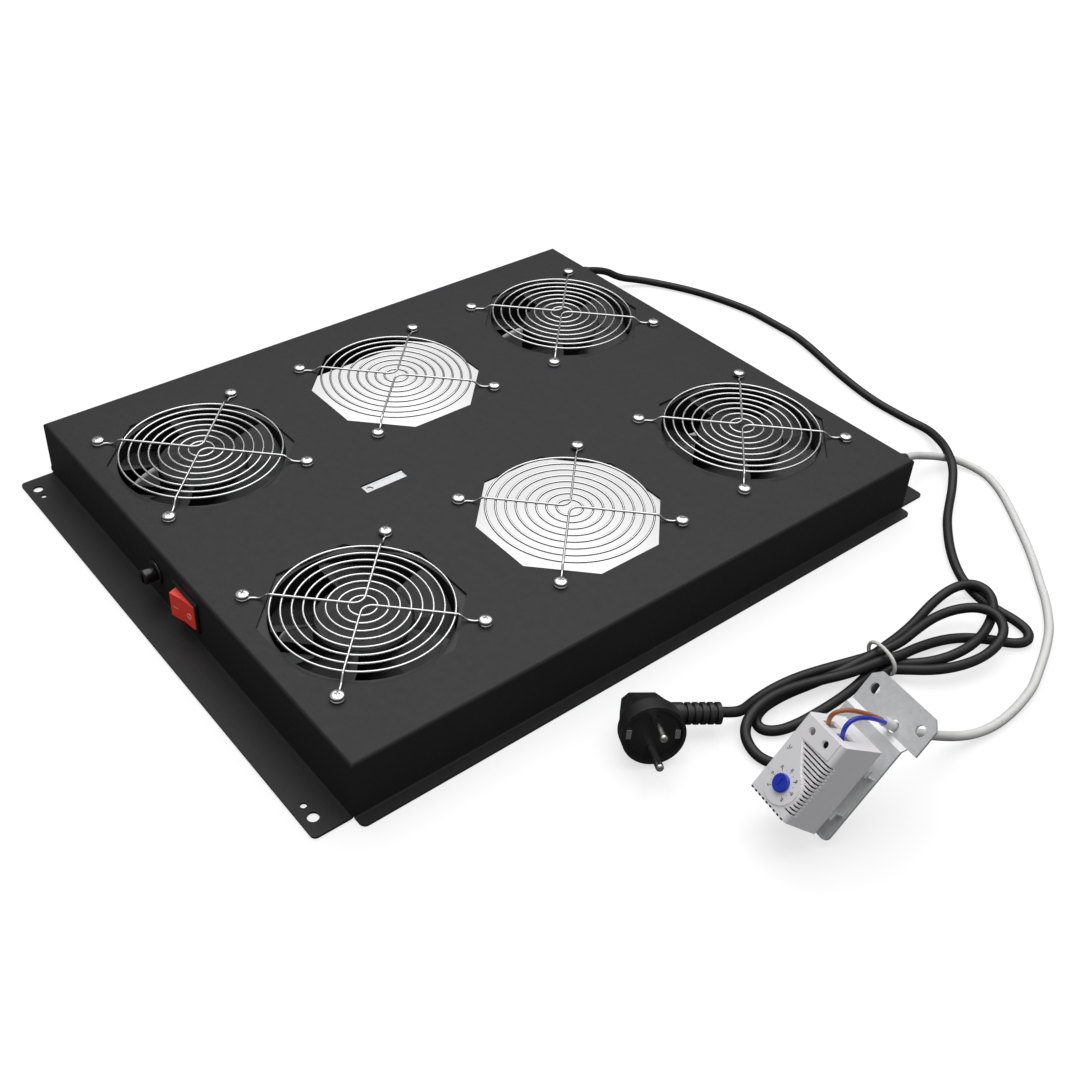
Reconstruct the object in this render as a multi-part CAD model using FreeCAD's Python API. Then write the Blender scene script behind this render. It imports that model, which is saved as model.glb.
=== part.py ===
import FreeCAD, Part
import math
import os

from FreeCAD import Placement, Rotation, Vector

# Rack fan tray: a folded sheet-metal pan with six 120 mm fan bays, four of them fitted, wire finger guards,
# a rocker switch, a fuse holder, a mains cord and a rail thermostat on its own cord.
#
# Millimetres. The origin is at the middle of the tray's footprint, on the underside of its flanges.
# +Z is up, the switches are on the -Y wall, and +X is to the right as seen from the switches.

# ---- pan, folded from one sheet
SHEET = 1.5
PAN_WIDTH = 396.0
PAN_DEPTH = 475.0
PAN_HEIGHT = 44.0
TOP_BEND = 2.5
FLANGE_BEND = 1.0
CORNER_RELIEF = 1.0
END_FLANGE = 25.0
END_FLANGE_CORNER = 3.5
SIDE_FLANGE = 8.3
SIDE_FLANGE_CORNER = 4.0
MOUNT_HOLE = 7.1
MOUNT_HOLE_PITCH = 368.0
PILOT_HOLE = 4.0
PILOT_HOLE_PITCH = 348.0
HOLE_TO_FLANGE_EDGE = 7.9
SLOT_WIDTH = 9.0
SLOT_LENGTH = 34.0
SLOT_FROM_MIDDLE = 79.5

# ---- fan bays
BAY_COLUMNS = 2
BAY_ROWS = 3
BAY_PITCH_X = 200.0
BAY_PITCH_Y = 164.0
OPENING_MARGIN = 0.3
FAN_SIZE = 120.0
FAN_DEPTH = 38.0
FAN_HOLE_PITCH = 105.0
FAN_CORNER = 6.0
FAN_FLANGE = 4.5
FAN_BORE = 115.0
FAN_DUCT_WALL = 2.0
FAN_STRUTS = 4
FAN_STRUT_WIDTH = 6.0
FAN_STRUT_HEIGHT = 3.5
HUB_DIAMETER = 62.0
HUB_HEIGHT = 28.0
HUB_WALL = 1.6
HUB_CHAMFER = 1.4
HUB_BELOW_INLET = 3.0
BLADES = 5
BLADE_THICKNESS = 1.8
BLADE_TIP_GAP = 1.5
BLADE_ROOT_CHORD = 44.0
BLADE_TIP_CHORD = 80.0
BLADE_ROOT_ANGLE = 36.0
BLADE_TIP_ANGLE = 22.0
BLADE_CAMBER = 3.5
SHAFT_DIAMETER = 4.0
SHAFT_FIT = 0.05
STATOR_CLEARANCE = 2.5

# ---- wire finger guards and their screws
GUARD_RINGS = 8
GUARD_FIRST_RING = 8.8
GUARD_RING_PITCH = 6.75
GUARD_WIRE = 1.6
GUARD_LIFT = 3.0
GUARD_WELD = 0.3
GUARD_APEX_RADIUS = 7.0
GUARD_JOGGLE = 5.5
SCREW_DIAMETER = 4.0
SCREW_CLEARANCE = 0.25
SCREW_HEAD = 9.0
SCREW_HEAD_HEIGHT = 3.0
SCREW_HEAD_CHAMFER = 0.8
SCREW_LENGTH = 9.0
FASTENER_SIDES = 12
NUT_ACROSS_FLATS = 7.0
NUT_HEIGHT = 3.2

# ---- terminal bracket under the slot
BRACKET_SHEET = 1.2
BRACKET_WIDTH = 12.0
BRACKET_LENGTH = 66.0
BRACKET_DROP = 24.0
BRACKET_SIDE_GAP = 1.2
BRACKET_HOLE = 5.0
BLOCK_WAYS = 5
BLOCK_PITCH = 9.0
BLOCK_WIDTH = 17.0
BLOCK_HEIGHT = 14.0
BLOCK_WIRE_HOLE = 4.0
BLOCK_SCREW = 3.0

# ---- rocker switch
SWITCH_X = 12.5
PANEL_Z = 22.8
BEZEL_WIDTH = 31.0
BEZEL_HEIGHT = 24.0
BEZEL_THICKNESS = 2.0
BEZEL_CORNER = 1.5
SWITCH_BODY_WIDTH = 28.6
SWITCH_BODY_HEIGHT = 21.2
SWITCH_BODY_DEPTH = 22.0
CUTOUT_CLEARANCE = 0.2
WELL_WALL = 0.95
WELL_DEPTH = 15.5
ROCKER_PIVOT_DEPTH = 7.5
ROCKER_TILT = 13.0
ROCKER_REACH = 10.8
ROCKER_FRONT_HALF = 11.0
ROCKER_BACK_HALF = 12.6
ROCKER_HOLLOW = 0.8
ROCKER_HEEL = 4.0
ROCKER_SIDE_GAP = 0.4
PIVOT_PIN = 3.0
PIVOT_FIT = 0.05
TAB_WIDTH = 6.3
TAB_THICKNESS = 0.8
TAB_LENGTH = 8.0

# ---- fuse holder
FUSE_X = -28.5
FUSE_FLANGE = 17.0
FUSE_FLANGE_THICKNESS = 2.0
FUSE_BARREL = 12.0
FUSE_BARREL_LENGTH = 32.0
FUSE_BORE = 8.6
FUSE_CAP_DIAMETER = 10.6
FUSE_CAP_LENGTH = 8.3
FUSE_CAP_GAP = 0.3
FUSE_STUB_LENGTH = 4.0
FUSE_PIN = 3.0
FUSE_NUT_ACROSS_FLATS = 16.0
FUSE_NUT_HEIGHT = 3.0
FUSE_DIAMETER = 5.2
FUSE_LENGTH = 20.0
FUSE_GRIP = 8.0
CARRIER_LENGTH = 13.0
SLIDE_FIT = 0.06

# ---- strain reliefs in the rear wall
GLAND_Z = 23.0
MAINS_GLAND_X = -176.0
SENSOR_GLAND_X = 176.0
GLAND_LENGTH = 24.5
GLAND_COLLAR = 2.5
GLAND_RIBS = 3

# ---- cords
MAINS_CORD = 6.5
SENSOR_CORD = 5.8
CORD_ARC_SHARE = 0.45
HANK_HEIGHT = 13.0
HANK_NECK_LIFT = 2.2

# ---- plug
PLUG_CENTRE = Vector(264.7, -76.3, 21.4)
PLUG_TURN = Rotation(58.2, 4.2, 75.4)
PLUG_FACE = 38.0
PLUG_RIM_DEPTH = 11.0
PLUG_DEPTH = 34.0
PLUG_BACK_LENGTH = 24.0
PLUG_BACK_WIDTH = 17.0
PLUG_RECESS = 3.0
PLUG_TAIL_BEHIND_FACE = 24.0
PLUG_TAIL_END = 46.0
PLUG_TAIL_DIAMETER = 13.4
PLUG_TAIL_RIBS = 5
PIN_DIAMETER = 4.8
PIN_PITCH = 19.0
PIN_LENGTH = 19.0
EARTH_CLIP_WIDTH = 6.0
EARTH_CLIP_LENGTH = 14.0

# ---- thermostat, in its own frame: X across, Y towards the terminals, Z out of the dial face
THERMOSTAT_CENTRE = Vector(349.0, -26.3, 32.2)
THERMOSTAT_TURN = Rotation(-13.6, -5.4, 50.1)
CASE_WIDTH = 32.0
CASE_LENGTH = 58.0
CASE_DEPTH = 29.0
CASE_WALL = 1.6
CASE_BASE_DEPTH = 8.0
CASE_SLANT = 6.5
CASE_EDGE = 3.0
FOOT_DEPTH = 1.0
LOUVRES = 15
LOUVRE_PITCH = 2.3
LOUVRE_WIDTH = 1.1
LOUVRE_DROP = 6.0
DIAL_X = 0.5
DIAL_Y = -15.0
DIAL_DIAMETER = 10.6
DIAL_HEIGHT = 2.0
DIAL_SHAFT = 4.0
ISLAND_HEIGHT = 0.8
ISLAND_RADIUS = 11.8
TERMINAL_PITCH = 11.2
TERMINAL_Y = 16.5
TERMINAL_HOLE = 4.6
RAIL_WIDTH = 35.0
RAIL_HEIGHT = 7.5
RAIL_BRIM = 4.0
RAIL_SHEET = 1.0
RAIL_LENGTH = 44.0
PLATE_SHEET = 1.5
PLATE_LEFT = -28.0
PLATE_RIGHT = 18.5
PLATE_BOTTOM = -30.2
PLATE_TOP = 34.5
STEP_LENGTH = 3.0
STEP_DEPTH = 2.5
EAR_LEFT = -28.0
EAR_RIGHT = 25.5
EAR_TOP = 60.0
EAR_CHAMFER = 5.0
EAR_HOLE = 6.5
EAR_HOLE_PITCH = 38.4
EAR_HOLE_Y = 49.8
CABLE_HOLE = 7.6
CABLE_HOLE_X = 3.0
CABLE_HOLE_Y = 41.5
CONDUCTOR = 2.6
CONDUCTOR_SIDES = 6
TIE_WIDTH = 3.6
TIE_CENTRE = Vector(294.4, 92.5, 8.4)
TIE_TURN = -12.0
RIVET = 3.2
LOUVRE_LEFT = -8.4
LOUVRE_TOP_Y = 9.0

# ---- values that follow from them
UNDER_TOP = PAN_HEIGHT - SHEET
FRONT_FACE = -PAN_DEPTH / 2
REAR_FACE = PAN_DEPTH / 2
HOLE_ROW = PAN_DEPTH / 2 + END_FLANGE - HOLE_TO_FLANGE_EDGE
FAN_BOTTOM = UNDER_TOP - FAN_DEPTH
MOTOR_BASE_TOP = FAN_BOTTOM + FAN_STRUT_HEIGHT
BLADE_TIP_RADIUS = FAN_BORE / 2 - BLADE_TIP_GAP
HUB_TOP = UNDER_TOP - HUB_BELOW_INLET
LUG_OFFSET = FAN_HOLE_PITCH / 2
SCREW_HOLE = SCREW_DIAMETER + 2 * SCREW_CLEARANCE
RING_BOTTOM = PAN_HEIGHT + GUARD_LIFT
SEAT_GAP = 0.3
PLATE_FACE = -FOOT_DEPTH - SEAT_GAP - RAIL_HEIGHT
SHEATH_END = PLATE_FACE - STEP_DEPTH + 3.0
CORE_DEPTH = CASE_DEPTH * 0.5
UP = Vector(0, 0, 1)
ACROSS = Vector(1, 0, 0)
ALONG = Vector(0, 1, 0)


# ---- helpers

def save(name, *solids):
    """Write one sub-part as a STEP file of its solids."""
    shape = solids[0] if len(solids) == 1 else Part.makeCompound(list(solids))
    shape.exportStep(os.path.join("parts", name + ".step"))


def block(x0, x1, y0, y1, z0, z1):
    """A box between two corners."""
    return Part.makeBox(x1 - x0, y1 - y0, z1 - z0, Vector(x0, y0, z0))


def rod(radius, start, direction, length):
    """A cylinder from a point along a direction."""
    return Part.makeCylinder(radius, length, start, direction)


def peg(radius, start, direction, length):
    """A small round fastener in a few flats, all of it within its radius."""
    place = Placement(start, Rotation(UP, direction))
    return placed(prism(polygon_corners(FASTENER_SIDES, radius, 0), Vector(0, 0, length)), place)


def peg_hole(radius, start, direction, length):
    """A hole in a few flats, all of it outside its radius."""
    return peg(radius / math.cos(math.pi / FASTENER_SIDES), start, direction, length)


def prism(corners, direction):
    """A closed outline of points, extruded."""
    return Part.Face(Part.makePolygon(corners + [corners[0]])).extrude(direction)


def polygon_corners(sides, corner_radius, z, first_angle=0.0):
    """The corners of a regular polygon about the Z axis."""
    turn = 2 * math.pi / sides
    return [
        Vector(corner_radius * math.cos(first_angle + i * turn), corner_radius * math.sin(first_angle + i * turn), z)
        for i in range(sides)
    ]


def edges_along(shape, direction, test=None):
    """The straight edges that run along a direction and pass a test on their middle."""
    chosen = []
    for edge in shape.Edges:
        run = edge.Vertexes[-1].Point - edge.Vertexes[0].Point
        if run.Length < 1e-6 or abs(abs(run.normalize().dot(direction)) - 1) > 1e-6:
            continue
        if test is None or test(edge.CenterOfMass):
            chosen.append(edge)
    return chosen


def rounded_block(width, length, height, corner):
    """A block on the XY plane, centred on the Z axis, with rounded upright edges."""
    plain = block(-width / 2, width / 2, -length / 2, length / 2, 0, height)
    return plain.makeFillet(corner, edges_along(plain, UP))


def placed(shape, place):
    """A copy of a shape, moved by a placement."""
    copy = shape.copy()
    copy.Placement = place.multiply(copy.Placement)
    return copy


def moved(shape, offset):
    """A copy of a shape, moved by a vector."""
    return placed(shape, Placement(offset, Rotation()))


def turned(shape, axis, degrees):
    """A copy of a shape, turned about an axis through the origin."""
    return placed(shape, Placement(Vector(), Rotation(axis, degrees)))


def bay_centres():
    """Every bay's place in the grid and its centre, front row first."""
    for row in range(BAY_ROWS):
        for column in range(BAY_COLUMNS):
            x = (column - (BAY_COLUMNS - 1) / 2) * BAY_PITCH_X
            y = (row - (BAY_ROWS - 1) / 2) * BAY_PITCH_Y
            yield row, column, Vector(x, y, 0)


def has_fan(row):
    """The middle row is left empty."""
    return row != (BAY_ROWS - 1) // 2


def lug_points():
    """The four screw places of a bay, from its centre."""
    return [Vector(sx * LUG_OFFSET, sy * LUG_OFFSET, 0) for sx in (-1, 1) for sy in (-1, 1)]


# ---- the pan

def pan_body():
    """The open box of top and walls, down to where the flange bends start."""
    foot = SHEET + FLANGE_BEND
    outer = block(-PAN_WIDTH / 2, PAN_WIDTH / 2, FRONT_FACE, REAR_FACE, foot, PAN_HEIGHT)
    inner = block(
        SHEET - PAN_WIDTH / 2, PAN_WIDTH / 2 - SHEET, FRONT_FACE + SHEET, REAR_FACE - SHEET, foot, UNDER_TOP
    )
    outer = outer.makeFillet(TOP_BEND, [e for e in outer.Edges if e.CenterOfMass.z > PAN_HEIGHT - 1e-3])
    inner = inner.makeFillet(TOP_BEND - SHEET, [e for e in inner.Edges if e.CenterOfMass.z > UNDER_TOP - 1e-3])
    return outer.cut(inner)


def flange(wall_face, reach, half_length, corner):
    """A flange and its bend, for a wall whose outer face is at +X, running along Y."""
    bend_x = wall_face + FLANGE_BEND
    bend_z = SHEET + FLANGE_BEND
    outer_radius = SHEET + FLANGE_BEND
    diagonal = math.sqrt(0.5)
    start = Vector(wall_face, -half_length, bend_z)
    inner_mid = Vector(bend_x - FLANGE_BEND * diagonal, -half_length, bend_z - FLANGE_BEND * diagonal)
    inner_end = Vector(bend_x, -half_length, SHEET)
    tip_top = Vector(wall_face + reach, -half_length, SHEET)
    tip_low = Vector(wall_face + reach, -half_length, 0)
    outer_start = Vector(bend_x, -half_length, 0)
    outer_mid = Vector(bend_x - outer_radius * diagonal, -half_length, bend_z - outer_radius * diagonal)
    outer_end = Vector(wall_face - SHEET, -half_length, bend_z)
    outline = Part.Wire([
        Part.Arc(start, inner_mid, inner_end).toShape(),
        Part.makeLine(inner_end, tip_top),
        Part.makeLine(tip_top, tip_low),
        Part.makeLine(tip_low, outer_start),
        Part.Arc(outer_start, outer_mid, outer_end).toShape(),
        Part.makeLine(outer_end, start),
    ])
    strip = Part.Face(outline).extrude(Vector(0, 2 * half_length, 0))
    tips = edges_along(strip, UP, lambda middle: middle.x > wall_face + reach - 1e-3)
    return strip.makeFillet(corner, tips)


def fan_opening():
    """A bay's octagonal opening, its flats parallel to the pan's edges, through the top."""
    flats = FAN_SIZE - 2 * OPENING_MARGIN
    corners = polygon_corners(8, flats / 2 / math.cos(math.pi / 8), UNDER_TOP - SHEET, math.pi / 8)
    return prism(corners, Vector(0, 0, 3 * SHEET))


def through_top(radius, at):
    """A round hole through the top plate."""
    return peg_hole(radius, Vector(at.x, at.y, UNDER_TOP - SHEET), UP, 3 * SHEET)


def pan_cuts():
    """Every opening and hole in the pan."""
    cuts = []
    for _row, _column, centre in bay_centres():
        cuts.append(moved(fan_opening(), centre))
        cuts += [through_top(SCREW_HOLE / 2, centre + lug) for lug in lug_points()]
    for side in (-1, 1):
        for end in (-1, 1):
            y = end * HOLE_ROW
            cuts.append(rod(MOUNT_HOLE / 2, Vector(side * MOUNT_HOLE_PITCH / 2, y, -SHEET), UP, 3 * SHEET))
            cuts.append(rod(PILOT_HOLE / 2, Vector(side * PILOT_HOLE_PITCH / 2, y, -SHEET), UP, 3 * SHEET))
    slot = block(
        -SLOT_WIDTH / 2, SLOT_WIDTH / 2, -SLOT_LENGTH / 2, SLOT_LENGTH / 2, UNDER_TOP - SHEET, PAN_HEIGHT + SHEET,
    )
    cuts.append(moved(slot, Vector(0, -SLOT_FROM_MIDDLE, 0)))
    half_wide = SWITCH_BODY_WIDTH / 2 + CUTOUT_CLEARANCE
    half_high = SWITCH_BODY_HEIGHT / 2 + CUTOUT_CLEARANCE
    cuts.append(block(
        SWITCH_X - half_wide, SWITCH_X + half_wide, FRONT_FACE - SHEET, FRONT_FACE + 2 * SHEET,
        PANEL_Z - half_high, PANEL_Z + half_high,
    ))
    fuse_hole = FUSE_BARREL / 2 + CUTOUT_CLEARANCE
    cuts.append(rod(fuse_hole, Vector(FUSE_X, FRONT_FACE - SHEET, PANEL_Z), ALONG, 3 * SHEET))
    for x, cord in ((MAINS_GLAND_X, MAINS_CORD), (SENSOR_GLAND_X, SENSOR_CORD)):
        start = Vector(x, REAR_FACE - 2 * SHEET, GLAND_Z)
        cuts.append(rod(gland_neck(cord) + CUTOUT_CLEARANCE, start, ALONG, 3 * SHEET))
    return cuts


def make_pan():
    """The whole pan."""
    end_half = PAN_WIDTH / 2 - CORNER_RELIEF
    side_half = PAN_DEPTH / 2 - CORNER_RELIEF
    rear = turned(flange(REAR_FACE, END_FLANGE, end_half, END_FLANGE_CORNER), UP, 90)
    right = flange(PAN_WIDTH / 2, SIDE_FLANGE, side_half, SIDE_FLANGE_CORNER)
    flanges = [rear, turned(rear, UP, 180), right, turned(right, UP, 180)]
    return pan_body().fuse(flanges).cut(pan_cuts()).removeSplitter()


# ---- fans

def fan_frame():
    """A fan's frame: square flanges, round duct, struts and motor base, with its inlet face up at the plate."""
    flange_plate = rounded_block(FAN_SIZE, FAN_SIZE, FAN_FLANGE, FAN_CORNER)
    duct = rod(FAN_BORE / 2 + FAN_DUCT_WALL, Vector(), UP, FAN_DEPTH)
    frame = duct.fuse([flange_plate, moved(flange_plate, Vector(0, 0, FAN_DEPTH - FAN_FLANGE))])
    holes = [peg_hole(SCREW_DIAMETER / 2 + SCREW_CLEARANCE / 2, lug, UP, FAN_DEPTH) for lug in lug_points()]
    frame = frame.cut([rod(FAN_BORE / 2, Vector(), UP, FAN_DEPTH)] + holes)
    motor_base = rod(HUB_DIAMETER / 2, Vector(), UP, FAN_STRUT_HEIGHT)
    strut = block(0, FAN_BORE / 2 + FAN_DUCT_WALL / 2, -FAN_STRUT_WIDTH / 2, FAN_STRUT_WIDTH / 2, 0, FAN_STRUT_HEIGHT)
    struts = [turned(strut, UP, 45 + i * 360 / FAN_STRUTS) for i in range(FAN_STRUTS)]
    return moved(frame.fuse([motor_base] + struts).removeSplitter(), Vector(0, 0, FAN_BOTTOM))


def fan_stator():
    """The motor's fixed core and shaft bearing, standing on the frame's motor base."""
    radius = HUB_DIAMETER / 2 - HUB_WALL - STATOR_CLEARANCE
    height = HUB_TOP - HUB_WALL - STATOR_CLEARANCE - MOTOR_BASE_TOP
    core = rod(radius, Vector(0, 0, MOTOR_BASE_TOP), UP, height)
    return core.cut(rod(SHAFT_DIAMETER / 2 + SHAFT_FIT, Vector(0, 0, MOTOR_BASE_TOP), UP, height))


def blade_section(radius, chord, angle):
    """A cambered plate section, square to the radius, as a closed wire."""
    half = chord / 2
    tilt = math.radians(angle)

    def point(along, above):
        tangential = along * math.cos(tilt) - above * math.sin(tilt)
        axial = along * math.sin(tilt) + above * math.cos(tilt)
        return Vector(radius, tangential, axial)

    low_start = point(-half, 0)
    low_end = point(half, 0)
    high_start = point(-half, BLADE_THICKNESS)
    high_end = point(half, BLADE_THICKNESS)
    return Part.Wire([
        Part.makeLine(low_start, point(0, BLADE_CAMBER)),
        Part.makeLine(point(0, BLADE_CAMBER), low_end),
        Part.makeLine(low_end, high_end),
        Part.makeLine(high_end, point(0, BLADE_CAMBER + BLADE_THICKNESS)),
        Part.makeLine(point(0, BLADE_CAMBER + BLADE_THICKNESS), high_start),
        Part.makeLine(high_start, low_start),
    ])


def fan_rotor():
    """Hub cup, swept blades and shaft, as one moulding."""
    hub_radius = HUB_DIAMETER / 2
    hub = rod(hub_radius, Vector(0, 0, HUB_TOP - HUB_HEIGHT), UP, HUB_HEIGHT)
    hub = hub.makeChamfer(HUB_CHAMFER, [e for e in hub.Edges if e.CenterOfMass.z > HUB_TOP - 1e-3])
    root = blade_section(hub_radius - 3 * HUB_WALL, BLADE_ROOT_CHORD, BLADE_ROOT_ANGLE)
    tip = blade_section(BLADE_TIP_RADIUS, BLADE_TIP_CHORD, BLADE_TIP_ANGLE)
    blade = Part.makeLoft([root, tip], True, True)
    blade = moved(blade, Vector(0, 0, HUB_TOP - HUB_HEIGHT / 2))
    swept = rod(BLADE_TIP_RADIUS, Vector(0, 0, HUB_TOP - HUB_HEIGHT), UP, HUB_HEIGHT)
    blade = blade.common(swept)
    blades = [turned(blade, UP, i * 360 / BLADES) for i in range(BLADES)]
    cavity = rod(hub_radius - HUB_WALL, Vector(0, 0, HUB_TOP - HUB_HEIGHT), UP, HUB_HEIGHT - HUB_WALL)
    shaft_length = HUB_TOP - HUB_WALL - MOTOR_BASE_TOP - STATOR_CLEARANCE
    shaft = rod(SHAFT_DIAMETER / 2, Vector(0, 0, HUB_TOP - HUB_WALL), -UP, shaft_length)
    return hub.fuse(blades).cut(cavity).fuse(shaft).removeSplitter()


# ---- guards, screws and nuts

def guard_ring(radius):
    """One ring of a guard, in as many sides as its size needs."""
    sides = 12 if radius < GUARD_FIRST_RING + 2.5 * GUARD_RING_PITCH else 18
    outer = polygon_corners(sides, radius + GUARD_WIRE / 2, RING_BOTTOM)
    inner = polygon_corners(sides, radius - GUARD_WIRE / 2, RING_BOTTOM)
    rise = Vector(0, 0, GUARD_WIRE)
    return prism(outer, rise).cut(prism(inner, rise))


def guard_leg():
    """A leg along +X: from the bend by the centre, over the rings, and joggled down to its eyelet."""
    lug = LUG_OFFSET * math.sqrt(2)
    low = PAN_HEIGHT
    high = RING_BOTTOM + GUARD_WIRE - GUARD_WELD
    last_ring = GUARD_FIRST_RING + (GUARD_RINGS - 1) * GUARD_RING_PITCH
    crest = last_ring + GUARD_WIRE
    foot = crest + GUARD_JOGGLE
    end = lug - SCREW_HOLE / 2 - GUARD_WIRE / 2
    side = -GUARD_WIRE / 2
    outline = [
        Vector(GUARD_APEX_RADIUS, side, high),
        Vector(crest, side, high),
        Vector(foot, side, low),
        Vector(end, side, low),
        Vector(end, side, low + GUARD_WIRE),
        Vector(foot, side, low + GUARD_WIRE),
        Vector(crest, side, high + GUARD_WIRE),
        Vector(GUARD_APEX_RADIUS, side, high + GUARD_WIRE),
    ]
    eyelet_outer = polygon_corners(8, (SCREW_HOLE / 2 + GUARD_WIRE) / math.cos(math.pi / 8), low, math.pi / 8)
    eyelet_hole = peg_hole(SCREW_HOLE / 2, Vector(0, 0, low), UP, GUARD_WIRE)
    eyelet = prism(eyelet_outer, Vector(0, 0, GUARD_WIRE)).cut(eyelet_hole)
    return prism(outline, Vector(0, GUARD_WIRE, 0)).fuse(moved(eyelet, Vector(lug, 0, 0)))


def guard_apex():
    """The rounded bend that joins the two -X legs next to the centre."""
    high = RING_BOTTOM + GUARD_WIRE - GUARD_WELD
    centre = Vector(-GUARD_APEX_RADIUS * math.sqrt(2), 0, high)
    steps = [math.radians(angle) for angle in (-45, -22.5, 0, 22.5, 45)]
    outer = [Vector(math.cos(a), math.sin(a), 0) * (GUARD_APEX_RADIUS + GUARD_WIRE / 2) for a in steps]
    inner = [Vector(math.cos(a), math.sin(a), 0) * (GUARD_APEX_RADIUS - GUARD_WIRE / 2) for a in reversed(steps)]
    return moved(prism(outer + inner, Vector(0, 0, GUARD_WIRE)), centre)


def wire_guard():
    """A whole guard: rings with two V wires welded across their tops."""
    rings = [guard_ring(GUARD_FIRST_RING + i * GUARD_RING_PITCH) for i in range(GUARD_RINGS)]
    legs = [turned(guard_leg(), UP, 45 + i * 90) for i in range(4)]
    apexes = [guard_apex(), turned(guard_apex(), UP, 180)]
    return rings[0].fuse(rings[1:] + legs + apexes).removeSplitter()


def guard_screw():
    """A pan head screw standing in a lug, seated on the eyelet."""
    seat = PAN_HEIGHT + GUARD_WIRE
    head = peg(SCREW_HEAD / 2, Vector(0, 0, seat), UP, SCREW_HEAD_HEIGHT)
    top = seat + SCREW_HEAD_HEIGHT
    head = head.makeChamfer(SCREW_HEAD_CHAMFER, [e for e in head.Edges if e.CenterOfMass.z > top - 1e-3])
    return head.fuse(peg(SCREW_DIAMETER / 2, Vector(0, 0, seat - SCREW_LENGTH), UP, SCREW_LENGTH))


def plate_nut():
    """A hexagon nut under the plate."""
    corners = polygon_corners(6, NUT_ACROSS_FLATS / 2 / math.cos(math.pi / 6), UNDER_TOP - NUT_HEIGHT)
    bore = peg_hole(SCREW_DIAMETER / 2 + SCREW_CLEARANCE / 4, Vector(0, 0, UNDER_TOP - NUT_HEIGHT), UP, NUT_HEIGHT)
    return prism(corners, Vector(0, 0, NUT_HEIGHT)).cut(bore)


# ---- terminal bracket and block

def terminal_bracket():
    """A galvanised angle spot-welded under the slot: its top leg shows through, its other leg holds the block."""
    left = BRACKET_SIDE_GAP - SLOT_WIDTH / 2
    right = left + BRACKET_WIDTH
    half = BRACKET_LENGTH / 2
    top_leg = block(left, right, -half, half, UNDER_TOP - BRACKET_SHEET, UNDER_TOP)
    side_leg = block(right - BRACKET_SHEET, right, -half, half, UNDER_TOP - BRACKET_DROP, UNDER_TOP)
    angle = top_leg.fuse(side_leg).removeSplitter()
    corner = edges_along(angle, ALONG, lambda m: m.x > right - 1e-3 and m.z > UNDER_TOP - 1e-3)
    angle = angle.makeFillet(BRACKET_SHEET, corner)
    hole_y = BRACKET_HOLE - SLOT_LENGTH / 2
    angle = angle.cut(rod(BRACKET_HOLE / 2, Vector(0, hole_y, UNDER_TOP - 2 * BRACKET_SHEET), UP, 3 * BRACKET_SHEET))
    return moved(angle, Vector(0, -SLOT_FROM_MIDDLE, 0))


def block_frame():
    """Where the terminal block sits: on the bracket's outer side, low enough to clear the top."""
    side = BRACKET_SIDE_GAP - SLOT_WIDTH / 2 + BRACKET_WIDTH
    return Vector(side, -SLOT_FROM_MIDDLE, UNDER_TOP - BRACKET_DROP + 2)


def terminal_block():
    """A strip of insulated terminals, humped over each way."""
    half = BLOCK_WAYS * BLOCK_PITCH / 2
    step = BLOCK_HEIGHT * 0.35
    outline = [
        Vector(0, -half, 0),
        Vector(step, -half, 0),
        Vector(BLOCK_HEIGHT, -half, BLOCK_WIDTH * 0.22),
        Vector(BLOCK_HEIGHT, -half, BLOCK_WIDTH * 0.78),
        Vector(step, -half, BLOCK_WIDTH),
        Vector(0, -half, BLOCK_WIDTH),
    ]
    body = prism(outline, Vector(0, 2 * half, 0))
    cuts = []
    for way in range(BLOCK_WAYS):
        y = (way - (BLOCK_WAYS - 1) / 2) * BLOCK_PITCH
        cuts.append(peg_hole(BLOCK_WIRE_HOLE / 2, Vector(step / 2 + BLOCK_WIRE_HOLE / 3, y, -1), UP, BLOCK_WIDTH + 2))
        for z in (BLOCK_WIDTH * 0.32, BLOCK_WIDTH * 0.68):
            cuts.append(peg_hole(BLOCK_SCREW / 2 + 0.3, Vector(BLOCK_HEIGHT * 0.65, y, z), ACROSS, BLOCK_HEIGHT))
    for way in range(1, BLOCK_WAYS):
        y = (way - BLOCK_WAYS / 2) * BLOCK_PITCH
        cuts.append(block(step, BLOCK_HEIGHT + 1, y - 0.6, y + 0.6, -1, BLOCK_WIDTH + 1))
    return moved(body.cut(cuts), block_frame())


def terminal_screws():
    """The block's clamping screws, sunk in their wells."""
    screws = []
    for way in range(BLOCK_WAYS):
        y = (way - (BLOCK_WAYS - 1) / 2) * BLOCK_PITCH
        for z in (BLOCK_WIDTH * 0.32, BLOCK_WIDTH * 0.68):
            base = block_frame() + Vector(BLOCK_HEIGHT * 0.65, y, z)
            screws.append(peg(BLOCK_SCREW / 2, base, ACROSS, BLOCK_HEIGHT * 0.2))
    return screws


# ---- switch

def switch_place():
    """The switch's frame: X along the panel, Y into the tray, Z up, with the bezel's face at Y = 0."""
    return Vector(SWITCH_X, FRONT_FACE - BEZEL_THICKNESS, PANEL_Z)


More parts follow.
